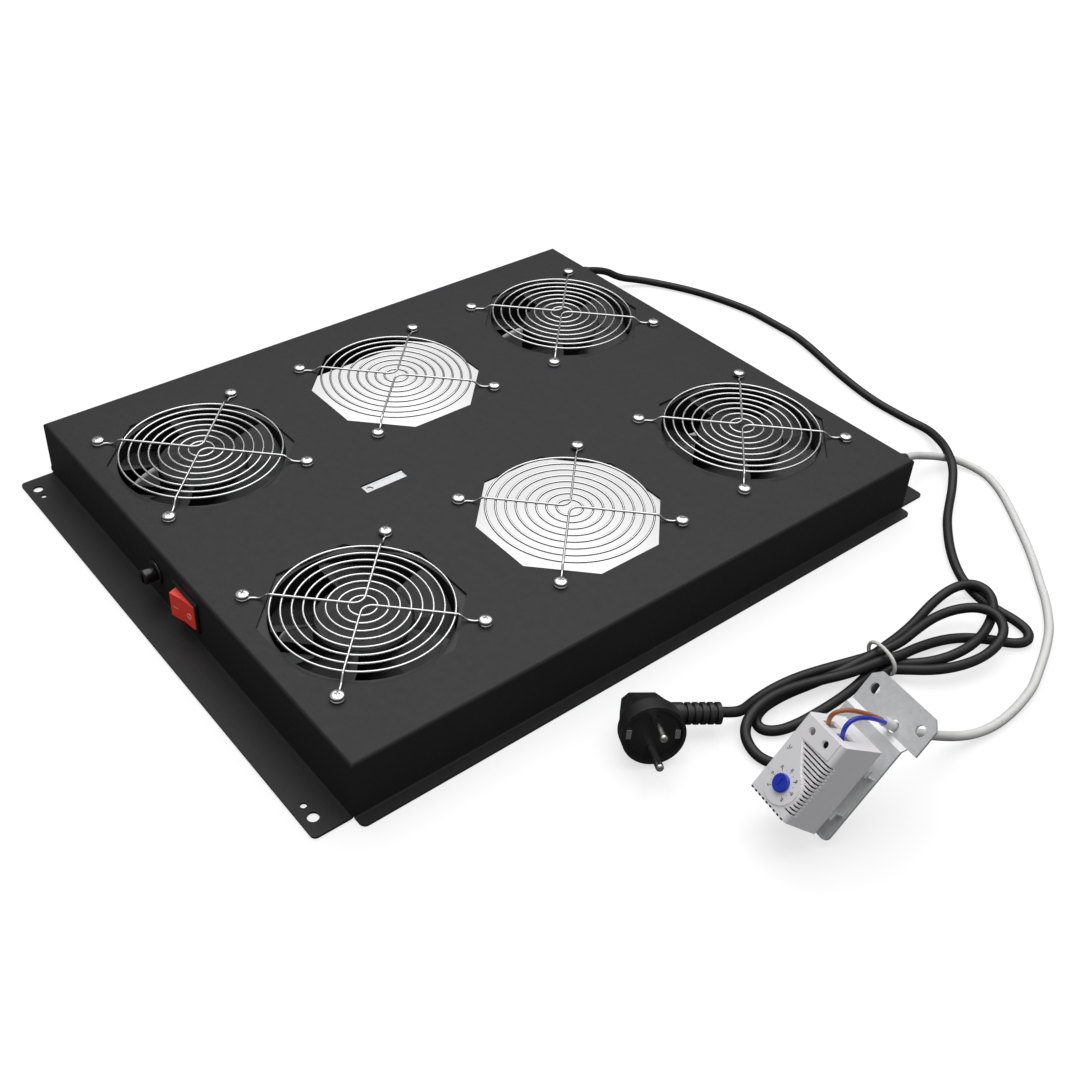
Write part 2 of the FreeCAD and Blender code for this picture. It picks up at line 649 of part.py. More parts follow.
def switch_housing():
    """Bezel, body and well, with the holes for the rocker's pivot pins."""
    bezel = rounded_block(BEZEL_WIDTH, BEZEL_HEIGHT, BEZEL_THICKNESS, BEZEL_CORNER)
    front_rim = [e for e in bezel.Edges if e.CenterOfMass.z < 1e-3]
    bezel = turned(bezel.makeChamfer(BEZEL_THICKNESS / 3, front_rim), ACROSS, -90)
    wide = SWITCH_BODY_WIDTH / 2
    high = SWITCH_BODY_HEIGHT / 2
    body = block(-wide, wide, BEZEL_THICKNESS, BEZEL_THICKNESS + SWITCH_BODY_DEPTH, -high, high)
    well_wide = wide - WELL_WALL
    well_high = high - WELL_WALL
    well = block(-well_wide, well_wide, 0, WELL_DEPTH, -well_high, well_high)
    pin = rod(PIVOT_PIN / 2 + PIVOT_FIT, Vector(0, ROCKER_PIVOT_DEPTH, -high), UP, 2 * high)
    return moved(bezel.fuse(body).cut([well, pin]).removeSplitter(), switch_place())


def switch_rocker():
    """The rocker with its shallow V face and pivot pins, resting with its +X end pressed."""
    half_high = SWITCH_BODY_HEIGHT / 2 - WELL_WALL - ROCKER_SIDE_GAP
    outline = [
        Vector(-ROCKER_FRONT_HALF, -ROCKER_REACH, -half_high),
        Vector(0, ROCKER_HOLLOW - ROCKER_REACH, -half_high),
        Vector(ROCKER_FRONT_HALF, -ROCKER_REACH, -half_high),
        Vector(ROCKER_BACK_HALF, 0, -half_high),
        Vector(ROCKER_HEEL, ROCKER_HEEL, -half_high),
        Vector(-ROCKER_HEEL, ROCKER_HEEL, -half_high),
        Vector(-ROCKER_BACK_HALF, 0, -half_high),
    ]
    body = prism(outline, Vector(0, 0, 2 * half_high))
    pin_half = SWITCH_BODY_HEIGHT / 2
    rocker = body.fuse(rod(PIVOT_PIN / 2, Vector(0, 0, -pin_half), UP, 2 * pin_half)).removeSplitter()
    pivot = switch_place() + Vector(0, ROCKER_PIVOT_DEPTH, 0)
    return moved(turned(rocker, UP, ROCKER_TILT), pivot)


def switch_tabs():
    """Four blade terminals out of the back of the switch."""
    back = switch_place() + Vector(0, BEZEL_THICKNESS + SWITCH_BODY_DEPTH, 0)
    tabs = []
    for sx in (-1, 1):
        for sz in (-1, 1):
            x = back.x + sx * SWITCH_BODY_WIDTH / 4
            z = back.z + sz * SWITCH_BODY_HEIGHT / 4
            tabs.append(block(
                x - TAB_WIDTH / 2, x + TAB_WIDTH / 2, back.y, back.y + TAB_LENGTH,
                z - TAB_THICKNESS / 2, z + TAB_THICKNESS / 2,
            ))
    return tabs


# ---- fuse holder

def fuse_point(depth):
    """A point on the fuse holder's axis, a depth behind its flange's face."""
    return Vector(FUSE_X, FRONT_FACE - FUSE_FLANGE_THICKNESS + depth, PANEL_Z)


def fuse_holder():
    """Flanged barrel with the bore that takes the carrier."""
    bezel = rod(FUSE_FLANGE / 2, fuse_point(0), ALONG, FUSE_FLANGE_THICKNESS)
    rim = [e for e in bezel.Edges if e.CenterOfMass.y < fuse_point(0).y + 1e-3]
    bezel = bezel.makeChamfer(FUSE_FLANGE_THICKNESS / 3, rim)
    barrel = rod(FUSE_BARREL / 2, fuse_point(FUSE_FLANGE_THICKNESS), ALONG, FUSE_BARREL_LENGTH)
    bore = rod(FUSE_BORE / 2, fuse_point(0), ALONG, FUSE_BARREL_LENGTH)
    return bezel.fuse(barrel).cut(bore).removeSplitter()


def fuse_nut():
    """The hexagon nut that clamps the holder from inside."""
    hexagon = prism(polygon_corners(6, FUSE_NUT_ACROSS_FLATS / 2 / math.cos(math.pi / 6), 0), Vector(0, 0, FUSE_NUT_HEIGHT))
    hexagon = hexagon.cut(rod(FUSE_BARREL / 2, Vector(), UP, FUSE_NUT_HEIGHT))
    return moved(turned(hexagon, ACROSS, -90), fuse_point(FUSE_FLANGE_THICKNESS + SHEET))


def fuse_cap():
    """The turned knob: a fluted grip, a stub in the bore and a pin into the carrier."""
    grip = rod(FUSE_CAP_DIAMETER / 2, fuse_point(-FUSE_CAP_GAP), -ALONG, FUSE_CAP_LENGTH)
    rim = [e for e in grip.Edges if e.CenterOfMass.y < fuse_point(-FUSE_CAP_LENGTH).y]
    grip = grip.makeChamfer(1.0, rim)
    screwdriver_slot = block(-0.6, 0.6, 0, 1.6, -FUSE_CAP_DIAMETER / 3, FUSE_CAP_DIAMETER / 3)
    grip = grip.cut(moved(screwdriver_slot, fuse_point(-FUSE_CAP_GAP - FUSE_CAP_LENGTH)))
    stub = rod(FUSE_BORE / 2 - SLIDE_FIT, fuse_point(-FUSE_CAP_GAP), ALONG, FUSE_CAP_GAP + FUSE_STUB_LENGTH)
    pin = rod(FUSE_PIN / 2, fuse_point(FUSE_STUB_LENGTH), ALONG, FUSE_STUB_LENGTH)
    return grip.fuse([stub, pin]).removeSplitter()


def fuse_carrier():
    """The sprung cup that draws the fuse out with the cap."""
    start = FUSE_STUB_LENGTH + FUSE_CAP_GAP
    cup = rod(FUSE_BORE / 2 - SLIDE_FIT, fuse_point(start), ALONG, CARRIER_LENGTH)
    socket = rod(FUSE_PIN / 2 + PIVOT_FIT, fuse_point(start), ALONG, FUSE_STUB_LENGTH)
    fuse_seat = rod(FUSE_DIAMETER / 2 + SLIDE_FIT, fuse_point(start + CARRIER_LENGTH - FUSE_GRIP), ALONG, FUSE_GRIP)
    return cup.cut([socket, fuse_seat])


def fuse_link():
    """The glass fuse with its two end caps, gripped in the carrier."""
    start = FUSE_STUB_LENGTH + FUSE_CAP_GAP + CARRIER_LENGTH - FUSE_GRIP
    tube = rod(FUSE_DIAMETER / 2 - 0.2, fuse_point(start), ALONG, FUSE_LENGTH)
    ends = [rod(FUSE_DIAMETER / 2, fuse_point(start + at), ALONG, FUSE_LENGTH / 4) for at in (0, FUSE_LENGTH * 0.75)]
    return tube.fuse(ends).removeSplitter()


def fuse_tabs():
    """The holder's two solder tabs."""
    end = fuse_point(FUSE_FLANGE_THICKNESS + FUSE_BARREL_LENGTH)
    offset = FUSE_BARREL / 4
    tabs = []
    for side in (-1, 1):
        z = end.z + side * offset
        tabs.append(block(
            end.x - TAB_WIDTH / 4, end.x + TAB_WIDTH / 4, end.y, end.y + TAB_LENGTH,
            z - TAB_THICKNESS / 2, z + TAB_THICKNESS / 2,
        ))
    return tabs


# ---- strain reliefs

def gland_neck(cord):
    """Radius of a strain relief where it passes the wall."""
    return cord / 2 + 2.8


def cord_gland(x, cord):
    """A ribbed, tapered strain relief snapped into the rear wall, pointing out along +Y."""
    neck = gland_neck(cord)
    collar = neck + 2.0
    tip = cord / 2 + 1.2
    inside = REAR_FACE - SHEET
    outline = [
        Vector(0, inside - GLAND_COLLAR, 0),
        Vector(collar, inside - GLAND_COLLAR, 0),
        Vector(collar, inside, 0),
        Vector(neck, inside, 0),
        Vector(neck, REAR_FACE, 0),
        Vector(collar, REAR_FACE, 0),
        Vector(collar, REAR_FACE + GLAND_COLLAR, 0),
    ]
    first = REAR_FACE + GLAND_COLLAR
    pitch = (GLAND_LENGTH - GLAND_COLLAR) / GLAND_RIBS
    for rib in range(GLAND_RIBS):
        radius = neck + (tip - neck) * rib / (GLAND_RIBS - 1)
        y = first + rib * pitch
        outline += [Vector(radius, y, 0), Vector(radius, y + 0.7 * pitch, 0)]
        outline += [Vector(radius - 0.8, y + 0.7 * pitch, 0), Vector(radius - 0.8, y + pitch, 0)]
    outline.append(Vector(0, first + GLAND_RIBS * pitch, 0))
    profile = Part.Face(Part.makePolygon(outline + [outline[0]]))
    return moved(profile.revolve(Vector(), ALONG, 360), Vector(x, 0, GLAND_Z))


def gland_tip(x):
    """Where a cord leaves its strain relief."""
    return Vector(x, REAR_FACE + GLAND_LENGTH, GLAND_Z)


# ---- cords

def cord_arc(before, corner, after):
    """The tangent arc at one point of a route: its two ends, its middle and its radius."""
    back = before - corner
    ahead = after - corner
    reach = CORD_ARC_SHARE * min(back.Length, ahead.Length)
    back.normalize()
    ahead.normalize()
    turn = math.pi - back.getAngle(ahead)
    radius = reach / math.tan(turn / 2)
    inward = (back + ahead).normalize()
    middle = corner + inward * (radius / math.cos(turn / 2) - radius)
    return corner + back * reach, middle, corner + ahead * reach, radius


def cord_tube(name, points, diameter, sides=0):
    """A cord along a route of straight runs joined by tangent arcs, round or of a few flats."""
    edges = []
    radii = []
    at = points[0]
    for before, corner, after in zip(points, points[1:], points[2:]):
        start, middle, end, radius = cord_arc(before, corner, after)
        edges.append(Part.makeLine(at, start))
        edges.append(Part.Arc(start, middle, end).toShape())
        radii.append(round(radius))
        at = end
    edges.append(Part.makeLine(at, points[-1]))
    path = Part.Wire(edges)
    section = Part.Wire(Part.makeCircle(diameter / 2, points[0], points[1] - points[0]))
    if sides:
        flats = Part.makePolygon(polygon_corners(sides, diameter / 2, 0) + [Vector(diameter / 2, 0, 0)])
        section = placed(flats, Placement(points[0], Rotation(UP, points[1] - points[0])))
    tube = path.makePipeShell([section], True, False)
    share = tube.Volume / (math.pi * diameter ** 2 / 4 * path.Length)
    print(name, "length", round(path.Length), "radii", radii, "volume share", round(share, 4))
    return tube


def on_floor(places, diameter):
    """Route points that lie on the surface the tray stands on."""
    return [Vector(x, y, diameter / 2) for x, y in places]


def mains_route():
    """From the rear strain relief, behind the tray, over the sensor cord and round to the hank."""
    leave = gland_tip(MAINS_GLAND_X)
    lift = SENSOR_CORD + MAINS_CORD / 2 + 3.6
    drop = [Vector(-176.2, 285.2, 17.1), Vector(-173.3, 307.3, 7.1)]
    behind = [(-153.9, 329.2), (-116.7, 346.3), (-76.5, 356.3), (-36.3, 358.4),
              (4.9, 345.3), (54.1, 326.2), (94.3, 318.1), (128.5, 321.2)]
    hump = [Vector(153.7, 322.7, 6.2), Vector(171.7, 317.6, lift), Vector(187.8, 306.6, lift), Vector(203.9, 290, 6.2)]
    down = [(229, 254.8), (246.1, 231.7), (260.2, 215.6), (274.8, 205.1)]
    return [leave] + drop + on_floor(behind, MAINS_CORD) + hump + on_floor(down, MAINS_CORD)


def tail_route():
    """From the hank's side to the plug's strain relief."""
    plug_end = plug_place().multVec(Vector(PLUG_TAIL_END, 0, -PLUG_TAIL_BEHIND_FACE))
    near_plug = plug_place().multVec(Vector(PLUG_TAIL_END + 12, 0, -PLUG_TAIL_BEHIND_FACE))
    fall = [Vector(277.9, -3.1, 9.8), Vector(276.5, 9.9, 7.8), Vector(273.7, 24.6, 5.4), Vector(272.9, 40.2, 3.8)]
    return [plug_end, near_plug] + fall + [Vector(277.8, 55.3, MAINS_CORD / 2)]


def sensor_route():
    """From the rear strain relief round to the thermostat's mounting plate, and up through its hole."""
    leave = gland_tip(SENSOR_GLAND_X)
    drop = [Vector(176.3, 278, 18.3), Vector(179.5, 293.5, 10.8), Vector(187.5, 306, 4.5)]
    turn = [(200.5, 314.8), (216, 317.8), (236.1, 312.1), (266.3, 293), (296.4, 265.8), (322.5, 233.7)]
    along = [(343.6, 199.5), (358.7, 168.4), (367.8, 139.2), (370.8, 113.1), (368.8, 91)]
    rise = [Vector(362.7, 68.9, 5), Vector(359.7, 49.8, 13)]
    hole = thermostat_place()
    back = PLATE_FACE - PLATE_SHEET - STEP_DEPTH
    below = hole.multVec(Vector(CABLE_HOLE_X, CABLE_HOLE_Y, back - 12))
    through = hole.multVec(Vector(CABLE_HOLE_X, CABLE_HOLE_Y, SHEATH_END))
    return [leave] + drop + on_floor(turn + along, SENSOR_CORD) + rise + [below, through]


def hank_lobe(corners, bottom, top, corner_radius, edge_chamfer):
    """One flattened lobe of the tied hank."""
    outline = [Vector(x, y, bottom) for x, y in corners]
    lobe = prism(outline, Vector(0, 0, top - bottom))
    lobe = lobe.makeFillet(corner_radius, edges_along(lobe, UP))
    return lobe.makeChamfer(edge_chamfer, [e for e in lobe.Edges if e.CenterOfMass.z > top - 1e-3])


def mains_hank():
    """The outer shape of the tied cord loops: a wide lobe, a raised neck and a low lobe."""
    wide = [(280, 107), (303, 102), (337, 141), (340, 187), (324, 200.5), (294, 216.5), (275, 211.5), (271, 183.5)]
    low = [(279.5, 88), (301, 85), (320.5, 42.5), (328.5, 14.5), (325.5, -13.5), (309.5, -28.5), (289.5, -28.5), (276.5, -13.5),
           (274, 14.5)]
    neck = [(284, 111), (305, 107), (303, 81), (283, 84)]
    lobes = [hank_lobe(wide, 0, HANK_HEIGHT, 6, 4), hank_lobe(low, 0, MAINS_CORD + 1, 6, 2.5)]
    bridge = hank_lobe(neck, HANK_NECK_LIFT, HANK_HEIGHT + 1.5, 4, 3)
    return lobes[0].fuse([lobes[1], bridge]).removeSplitter()


def cord_tie():
    """A nylon tie closed round the hank's neck."""
    outer = rounded_block(25.5, 16.6, TIE_WIDTH, 6)
    inner = rounded_block(23.1, 14.2, TIE_WIDTH, 4.8)
    ring = turned(outer.cut(inner), ACROSS, 90)
    return placed(ring, Placement(TIE_CENTRE, Rotation(UP, TIE_TURN)))


# ---- plug

def plug_place():
    """The plug's frame: X towards the cord, Y across the pins, Z out of the face."""
    return Placement(PLUG_CENTRE, PLUG_TURN)


def plug_body():
    """An angled plug: round face with its recess, a back that narrows, and a ribbed tail."""
    radius = PLUG_FACE / 2
    rim = rod(radius, Vector(0, 0, -PLUG_RIM_DEPTH), UP, PLUG_RIM_DEPTH)
    half_x = PLUG_BACK_LENGTH / 2
    half_y = PLUG_BACK_WIDTH / 2
    shoulder = 4.0
    back_corners = [
        Vector(half_x, half_y - shoulder, -PLUG_DEPTH),
        Vector(half_x - shoulder, half_y, -PLUG_DEPTH),
        Vector(shoulder - half_x, half_y, -PLUG_DEPTH),
        Vector(-half_x, half_y - shoulder, -PLUG_DEPTH),
        Vector(-half_x, shoulder - half_y, -PLUG_DEPTH),
        Vector(shoulder - half_x, -half_y, -PLUG_DEPTH),
        Vector(half_x - shoulder, -half_y, -PLUG_DEPTH),
        Vector(half_x, shoulder - half_y, -PLUG_DEPTH),
    ]
    octagon = polygon_corners(8, radius, -PLUG_RIM_DEPTH, math.pi / 8)
    wide = Part.makePolygon(octagon + [octagon[0]])
    back = Part.makeLoft([wide, Part.makePolygon(back_corners + [back_corners[0]])], True, True)
    axis = Vector(0, 0, -PLUG_TAIL_BEHIND_FACE)
    tail_radius = PLUG_TAIL_DIAMETER / 2
    tail = rod(tail_radius, axis, ACROSS, PLUG_TAIL_END)
    ribs_start = PLUG_TAIL_END * 0.5
    pitch = (PLUG_TAIL_END - ribs_start) / PLUG_TAIL_RIBS
    grooves = []
    for i in range(PLUG_TAIL_RIBS):
        at = axis + Vector(ribs_start + i * pitch, 0, 0)
        grooves.append(rod(tail_radius + 1, at, ACROSS, pitch * 0.4).cut(rod(tail_radius - 1.6, at, ACROSS, pitch * 0.4)))
    recess = rod(radius - 2.2, Vector(0, 0, -PLUG_RECESS), UP, PLUG_RECESS)
    body = rim.fuse([back, tail.cut(grooves)]).cut(recess)
    pins = [rod(PIN_DIAMETER / 2, Vector(0, side * PIN_PITCH / 2, -PLUG_RIM_DEPTH), UP, PLUG_RIM_DEPTH) for side in (-1, 1)]
    return placed(body.cut(pins).removeSplitter(), plug_place())


def plug_pins():
    """The two round pins, seated in the body."""
    pins = []
    for side in (-1, 1):
        base = Vector(0, side * PIN_PITCH / 2, -PLUG_RIM_DEPTH)
        pin = rod(PIN_DIAMETER / 2, base, UP, PLUG_RIM_DEPTH + PIN_LENGTH)
        end = [e for e in pin.Edges if e.CenterOfMass.z > PIN_LENGTH - 1e-3]
        pins.append(placed(pin.makeChamfer(PIN_DIAMETER / 5, end), plug_place()))
    return pins


def plug_earth():
    """The two earth springs on the sides of the face."""
    clips = []
    for side in (-1, 1):
        x = side * (PLUG_FACE / 2 - 4.5)
        clip = block(x - 1.6, x + 1.6, -EARTH_CLIP_WIDTH / 2, EARTH_CLIP_WIDTH / 2, -PLUG_RECESS, EARTH_CLIP_LENGTH / 10 - PLUG_RECESS)
        clips.append(placed(clip, plug_place()))
    return clips


# ---- thermostat

def thermostat_place():
    """The thermostat's frame in the tray's."""
    return Placement(THERMOSTAT_CENTRE, THERMOSTAT_TURN)


def case_outline(grow, bottom, top):
    """The case's side profile, offset inwards by a negative growth, between two depths."""
    half = CASE_LENGTH / 2 + grow
    slope = CASE_SLANT / CASE_DEPTH
    x = -CASE_WIDTH / 2 - grow
    corners = [
        Vector(x, -half, bottom),
        Vector(x, half - slope * bottom, bottom),
        Vector(x, half - slope * top, top),
        Vector(x, -half, top),
    ]
    return prism(corners, Vector(CASE_WIDTH + 2 * grow, 0, 0))


def thermostat_base():
    """The rear half of the case, with the foot that hooks on the rail."""
    shell = case_outline(0, 0, CASE_BASE_DEPTH).cut(case_outline(-CASE_WALL, CASE_WALL, CASE_BASE_DEPTH))
    half_rail = RAIL_WIDTH / 2
    foot = block(-CASE_WIDTH / 3, CASE_WIDTH / 3, -half_rail, half_rail + 3.5, -FOOT_DEPTH, 0)
    hook_low = -FOOT_DEPTH - 0.3 - RAIL_SHEET - 0.3
    hook = block(-CASE_WIDTH / 3, CASE_WIDTH / 3, half_rail + 0.3, half_rail + 3.5, hook_low - 2, -FOOT_DEPTH)
    toe = block(-CASE_WIDTH / 3, CASE_WIDTH / 3, half_rail - RAIL_BRIM + 1, half_rail + 3.5, hook_low - 2, hook_low)
    return placed(shell.fuse([foot, hook, toe]).removeSplitter(), thermostat_place())


def rail_clip():
    """The sprung slider that locks the case on the rail's other brim."""
    half_rail = RAIL_WIDTH / 2
    hook_low = -FOOT_DEPTH - 0.3 - RAIL_SHEET - 0.3
    wide = CASE_WIDTH / 5
    arm = block(-wide, wide, -half_rail - 8, -half_rail - 0.3, -FOOT_DEPTH, 0)
    drop = block(-wide, wide, -half_rail - 3.2, -half_rail - 0.3, hook_low - 2, -FOOT_DEPTH)
    toe = block(-wide, wide, -half_rail - 3.2, RAIL_BRIM - 1 - half_rail, hook_low - 2, hook_low)
    slot = block(-wide / 2, wide / 2, -half_rail - 7, -half_rail - 5, -FOOT_DEPTH, 0)
    return placed(arm.fuse([drop, toe]).cut(slot).removeSplitter(), thermostat_place())


def island_outline(grow, bottom, height):
    """The raised teardrop field: the terminals' end of the face down to a round end about the dial."""
    top = CASE_LENGTH / 2 - CASE_SLANT
    left = -CASE_WIDTH / 2
    round_end = rod(ISLAND_RADIUS + grow, Vector(DIAL_X, DIAL_Y, bottom), UP, height)
    corners = [
        Vector(left, DIAL_Y, bottom),
        Vector(DIAL_X + (ISLAND_RADIUS + grow) * 0.94, DIAL_Y + ISLAND_RADIUS * 0.34, bottom),
        Vector(LOUVRE_LEFT + grow, louvre_y(0) + LOUVRE_PITCH / 2, bottom),
        Vector(-left - CASE_EDGE, louvre_y(0) + LOUVRE_PITCH, bottom),
        Vector(-left - CASE_EDGE, top, bottom),
        Vector(left, top, bottom),
    ]
    field = prism(corners, Vector(0, 0, height)).fuse(round_end)
    within = block(left, -left, -CASE_LENGTH / 2, top, bottom, bottom + height)
    return field.common(within).removeSplitter()


def louvre_y(index):
    """The middle of a louvre slot, counted from the terminals' end."""
    return LOUVRE_TOP_Y - index * LOUVRE_PITCH


def louvre_cuts():
    """The slots: across the face and down over its +X edge."""
    cuts = []
    for index in range(LOUVRES):
        y = louvre_y(index)
        cuts.append(block(
            LOUVRE_LEFT, CASE_WIDTH / 2 + 1, y - LOUVRE_WIDTH / 2, y + LOUVRE_WIDTH / 2,
            CASE_DEPTH - LOUVRE_DROP, CASE_DEPTH + 1,
        ))
    return cuts


def thermostat_cover():
    """The front half of the case with its louvres, raised field, dial seat and terminal openings."""
    outer = case_outline(0, CASE_BASE_DEPTH, CASE_DEPTH)
    long_edges = edges_along(outer, ALONG, lambda m: m.z > CASE_DEPTH - 1e-3)
    outer = outer.makeFillet(CASE_EDGE, long_edges)
    hollow = case_outline(-CASE_WALL, CASE_BASE_DEPTH, CASE_DEPTH - CASE_WALL)
    shell = outer.cut(hollow)
    keep = island_outline(LOUVRE_WIDTH, CASE_DEPTH - LOUVRE_DROP - 1, LOUVRE_DROP + 2)
    shell = shell.cut([slot.cut(keep) for slot in louvre_cuts()])
    inside_edge = block(
        -CASE_WIDTH / 2 + CASE_EDGE, CASE_WIDTH / 2 - CASE_EDGE, -CASE_LENGTH / 2 + 1, CASE_LENGTH / 2,
        CASE_DEPTH - CASE_WALL / 2, CASE_DEPTH + ISLAND_HEIGHT,
    )
    field = island_outline(0, CASE_DEPTH - CASE_WALL / 2, CASE_WALL / 2 + ISLAND_HEIGHT).common(inside_edge)
    shell = shell.fuse(field)
    cuts = [rod(DIAL_SHAFT / 2 + 0.3, Vector(DIAL_X, DIAL_Y, CASE_DEPTH - 2 * CASE_WALL), UP, 4 * CASE_WALL)]
    for side in (-1, 1):
        x = side * TERMINAL_PITCH / 2
        cuts.append(rod(TERMINAL_HOLE / 2, Vector(x, TERMINAL_Y, CASE_DEPTH - 2 * CASE_WALL), UP, 4 * CASE_WALL))
        cuts.append(block(
            x - TERMINAL_HOLE * 0.7, x + TERMINAL_HOLE * 0.7, TERMINAL_Y, CASE_LENGTH / 2 + 1,
            CORE_DEPTH, CASE_DEPTH * 0.82,
        ))
    return placed(shell.cut(cuts).removeSplitter(), thermostat_place())


def thermostat_core():
    """The snap-action switch and terminal carrier inside the case."""
    gap = CASE_WALL + 0.4
    half_x = CASE_WIDTH / 2 - gap
    body = block(-half_x, half_x, -CASE_LENGTH / 2 + gap, TERMINAL_Y - TERMINAL_HOLE, CASE_WALL, CASE_DEPTH * 0.62)
    inner_end = CASE_LENGTH / 2 - CASE_SLANT - 3.2
    terminals = block(-half_x, half_x, TERMINAL_Y - TERMINAL_HOLE, inner_end, CASE_WALL, CORE_DEPTH)
    post = rod(DIAL_SHAFT, Vector(DIAL_X, DIAL_Y, CASE_DEPTH * 0.6), UP, CASE_DEPTH * 0.22)
    shaft = rod(DIAL_SHAFT / 2 + SHAFT_FIT, Vector(DIAL_X, DIAL_Y, CASE_DEPTH * 0.4), UP, CASE_DEPTH)
    return placed(body.fuse([terminals, post]).cut(shaft).removeSplitter(), thermostat_place())


def thermostat_dial():
    """The setting dial on its shaft, with a screwdriver slot."""
    face = CASE_DEPTH + ISLAND_HEIGHT + 0.3
    knob = rod(DIAL_DIAMETER / 2, Vector(DIAL_X, DIAL_Y, face), UP, DIAL_HEIGHT)
    top = face + DIAL_HEIGHT
    knob = knob.makeChamfer(DIAL_HEIGHT / 4, [e for e in knob.Edges if e.CenterOfMass.z > top - 1e-3])
    half_slot = DIAL_DIAMETER / 4
    slot = block(DIAL_X - 0.5, DIAL_X + 0.5, DIAL_Y - half_slot, DIAL_Y + half_slot, top - DIAL_HEIGHT * 0.4, top + DIAL_HEIGHT)
    shaft_low = CASE_DEPTH * 0.45
    shaft = rod(DIAL_SHAFT / 2, Vector(DIAL_X, DIAL_Y, shaft_low), UP, face - shaft_low)
    return placed(knob.cut(slot).fuse(shaft).removeSplitter(), thermostat_place())


def thermostat_screws():
    """The two terminal screws below their openings."""
    screws = []
    for side in (-1, 1):
        base = Vector(side * TERMINAL_PITCH / 2, TERMINAL_Y, CORE_DEPTH)
        screws.append(placed(peg(TERMINAL_HOLE / 2 - 0.4, base, UP, CASE_DEPTH * 0.25), thermostat_place()))
    return screws


def din_rail():
    """A short length of top-hat rail, riveted to the bracket."""
    half = RAIL_WIDTH / 2
    low = PLATE_FACE
    high = low + RAIL_HEIGHT
    web = half - RAIL_BRIM - RAIL_SHEET
    profile = [
        (-half, high), (-web, high), (-web, low + RAIL_SHEET), (web, low + RAIL_SHEET), (web, high), (half, high),
        (half, high - RAIL_SHEET), (web + RAIL_SHEET, high - RAIL_SHEET), (web + RAIL_SHEET, low),
        (-web - RAIL_SHEET, low), (-web - RAIL_SHEET, high - RAIL_SHEET), (-half, high - RAIL_SHEET),
    ]
    left = (PLATE_LEFT + PLATE_RIGHT) / 2 - RAIL_LENGTH / 2
    rail = prism([Vector(left, y, z) for y, z in profile], Vector(RAIL_LENGTH, 0, 0))
    holes = [peg_hole(RIVET / 2, Vector(x, 0, low - 1), UP, RAIL_SHEET + 2) for x in rivet_places()]
    return placed(rail.cut(holes), thermostat_place())


def rivet_places():
    """Where the rail's rivets are, across the bracket."""
    middle = (PLATE_LEFT + PLATE_RIGHT) / 2
    return [middle - RAIL_LENGTH / 4, middle + RAIL_LENGTH / 4]


def rail_rivets():
    """The rivets that hold the rail on the bracket plate."""
    rivets = []
    for x in rivet_places():
        shank_low = PLATE_FACE - PLATE_SHEET
        shank = peg(RIVET / 2, Vector(x, 0, shank_low), UP, PLATE_SHEET + RAIL_SHEET)
        heads = [
            peg(RIVET, Vector(x, 0, PLATE_FACE + RAIL_SHEET), UP, 0.9),
            peg(RIVET * 0.8, Vector(x, 0, shank_low - 0.6), UP, 0.6),
        ]
        rivets.append(placed(shank.fuse(heads).removeSplitter(), thermostat_place()))
    return rivets


def thermostat_bracket():
    """The galvanised plate: flat behind the rail, stepped back, then the ear with its two mounting holes."""
    top = PLATE_FACE
    low = top - PLATE_SHEET
    step_top = PLATE_TOP + STEP_LENGTH
    main = [(PLATE_BOTTOM, low), (PLATE_BOTTOM, top), (PLATE_TOP, top), (PLATE_TOP, low)]
    main_plate = prism([Vector(PLATE_LEFT, y, z) for y, z in main], Vector(PLATE_RIGHT - PLATE_LEFT, 0, 0))
    corners = edges_along(main_plate, UP, lambda m: m.y < PLATE_BOTTOM + 1e-3)
    main_plate = main_plate.makeFillet(4.0, corners)
    drop = Vector(0, 0, -STEP_DEPTH)
    slope = [
        Vector(EAR_LEFT, PLATE_TOP, low), Vector(EAR_LEFT, PLATE_TOP, top),
        Vector(EAR_LEFT, step_top, top) + drop, Vector(EAR_LEFT, step_top, low) + drop,
    ]
    step = prism(slope, Vector(PLATE_RIGHT - EAR_LEFT, 0, 0))
    ear = block(EAR_LEFT, EAR_RIGHT, step_top, EAR_TOP, low - STEP_DEPTH, top - STEP_DEPTH)
    ear_corners = edges_along(ear, UP, lambda m: m.y > EAR_TOP - 1e-3)
    ear = ear.makeChamfer(EAR_CHAMFER, ear_corners)
    middle = (EAR_LEFT + EAR_RIGHT) / 2
    below = low - STEP_DEPTH - 1
    through = PLATE_SHEET + 2
    ear_holes = [Vector(middle + side * EAR_HOLE_PITCH / 2, EAR_HOLE_Y, below) for side in (-1, 1)]
    holes = [rod(EAR_HOLE / 2, at, UP, through) for at in ear_holes]
    holes.append(rod(CABLE_HOLE / 2, Vector(CABLE_HOLE_X, CABLE_HOLE_Y, below), UP, through))
    holes += [peg_hole(RIVET / 2, Vector(x, 0, low - 1), UP, through) for x in rivet_places()]
    return placed(main_plate.fuse([step, ear]).cut(holes).removeSplitter(), thermostat_place())


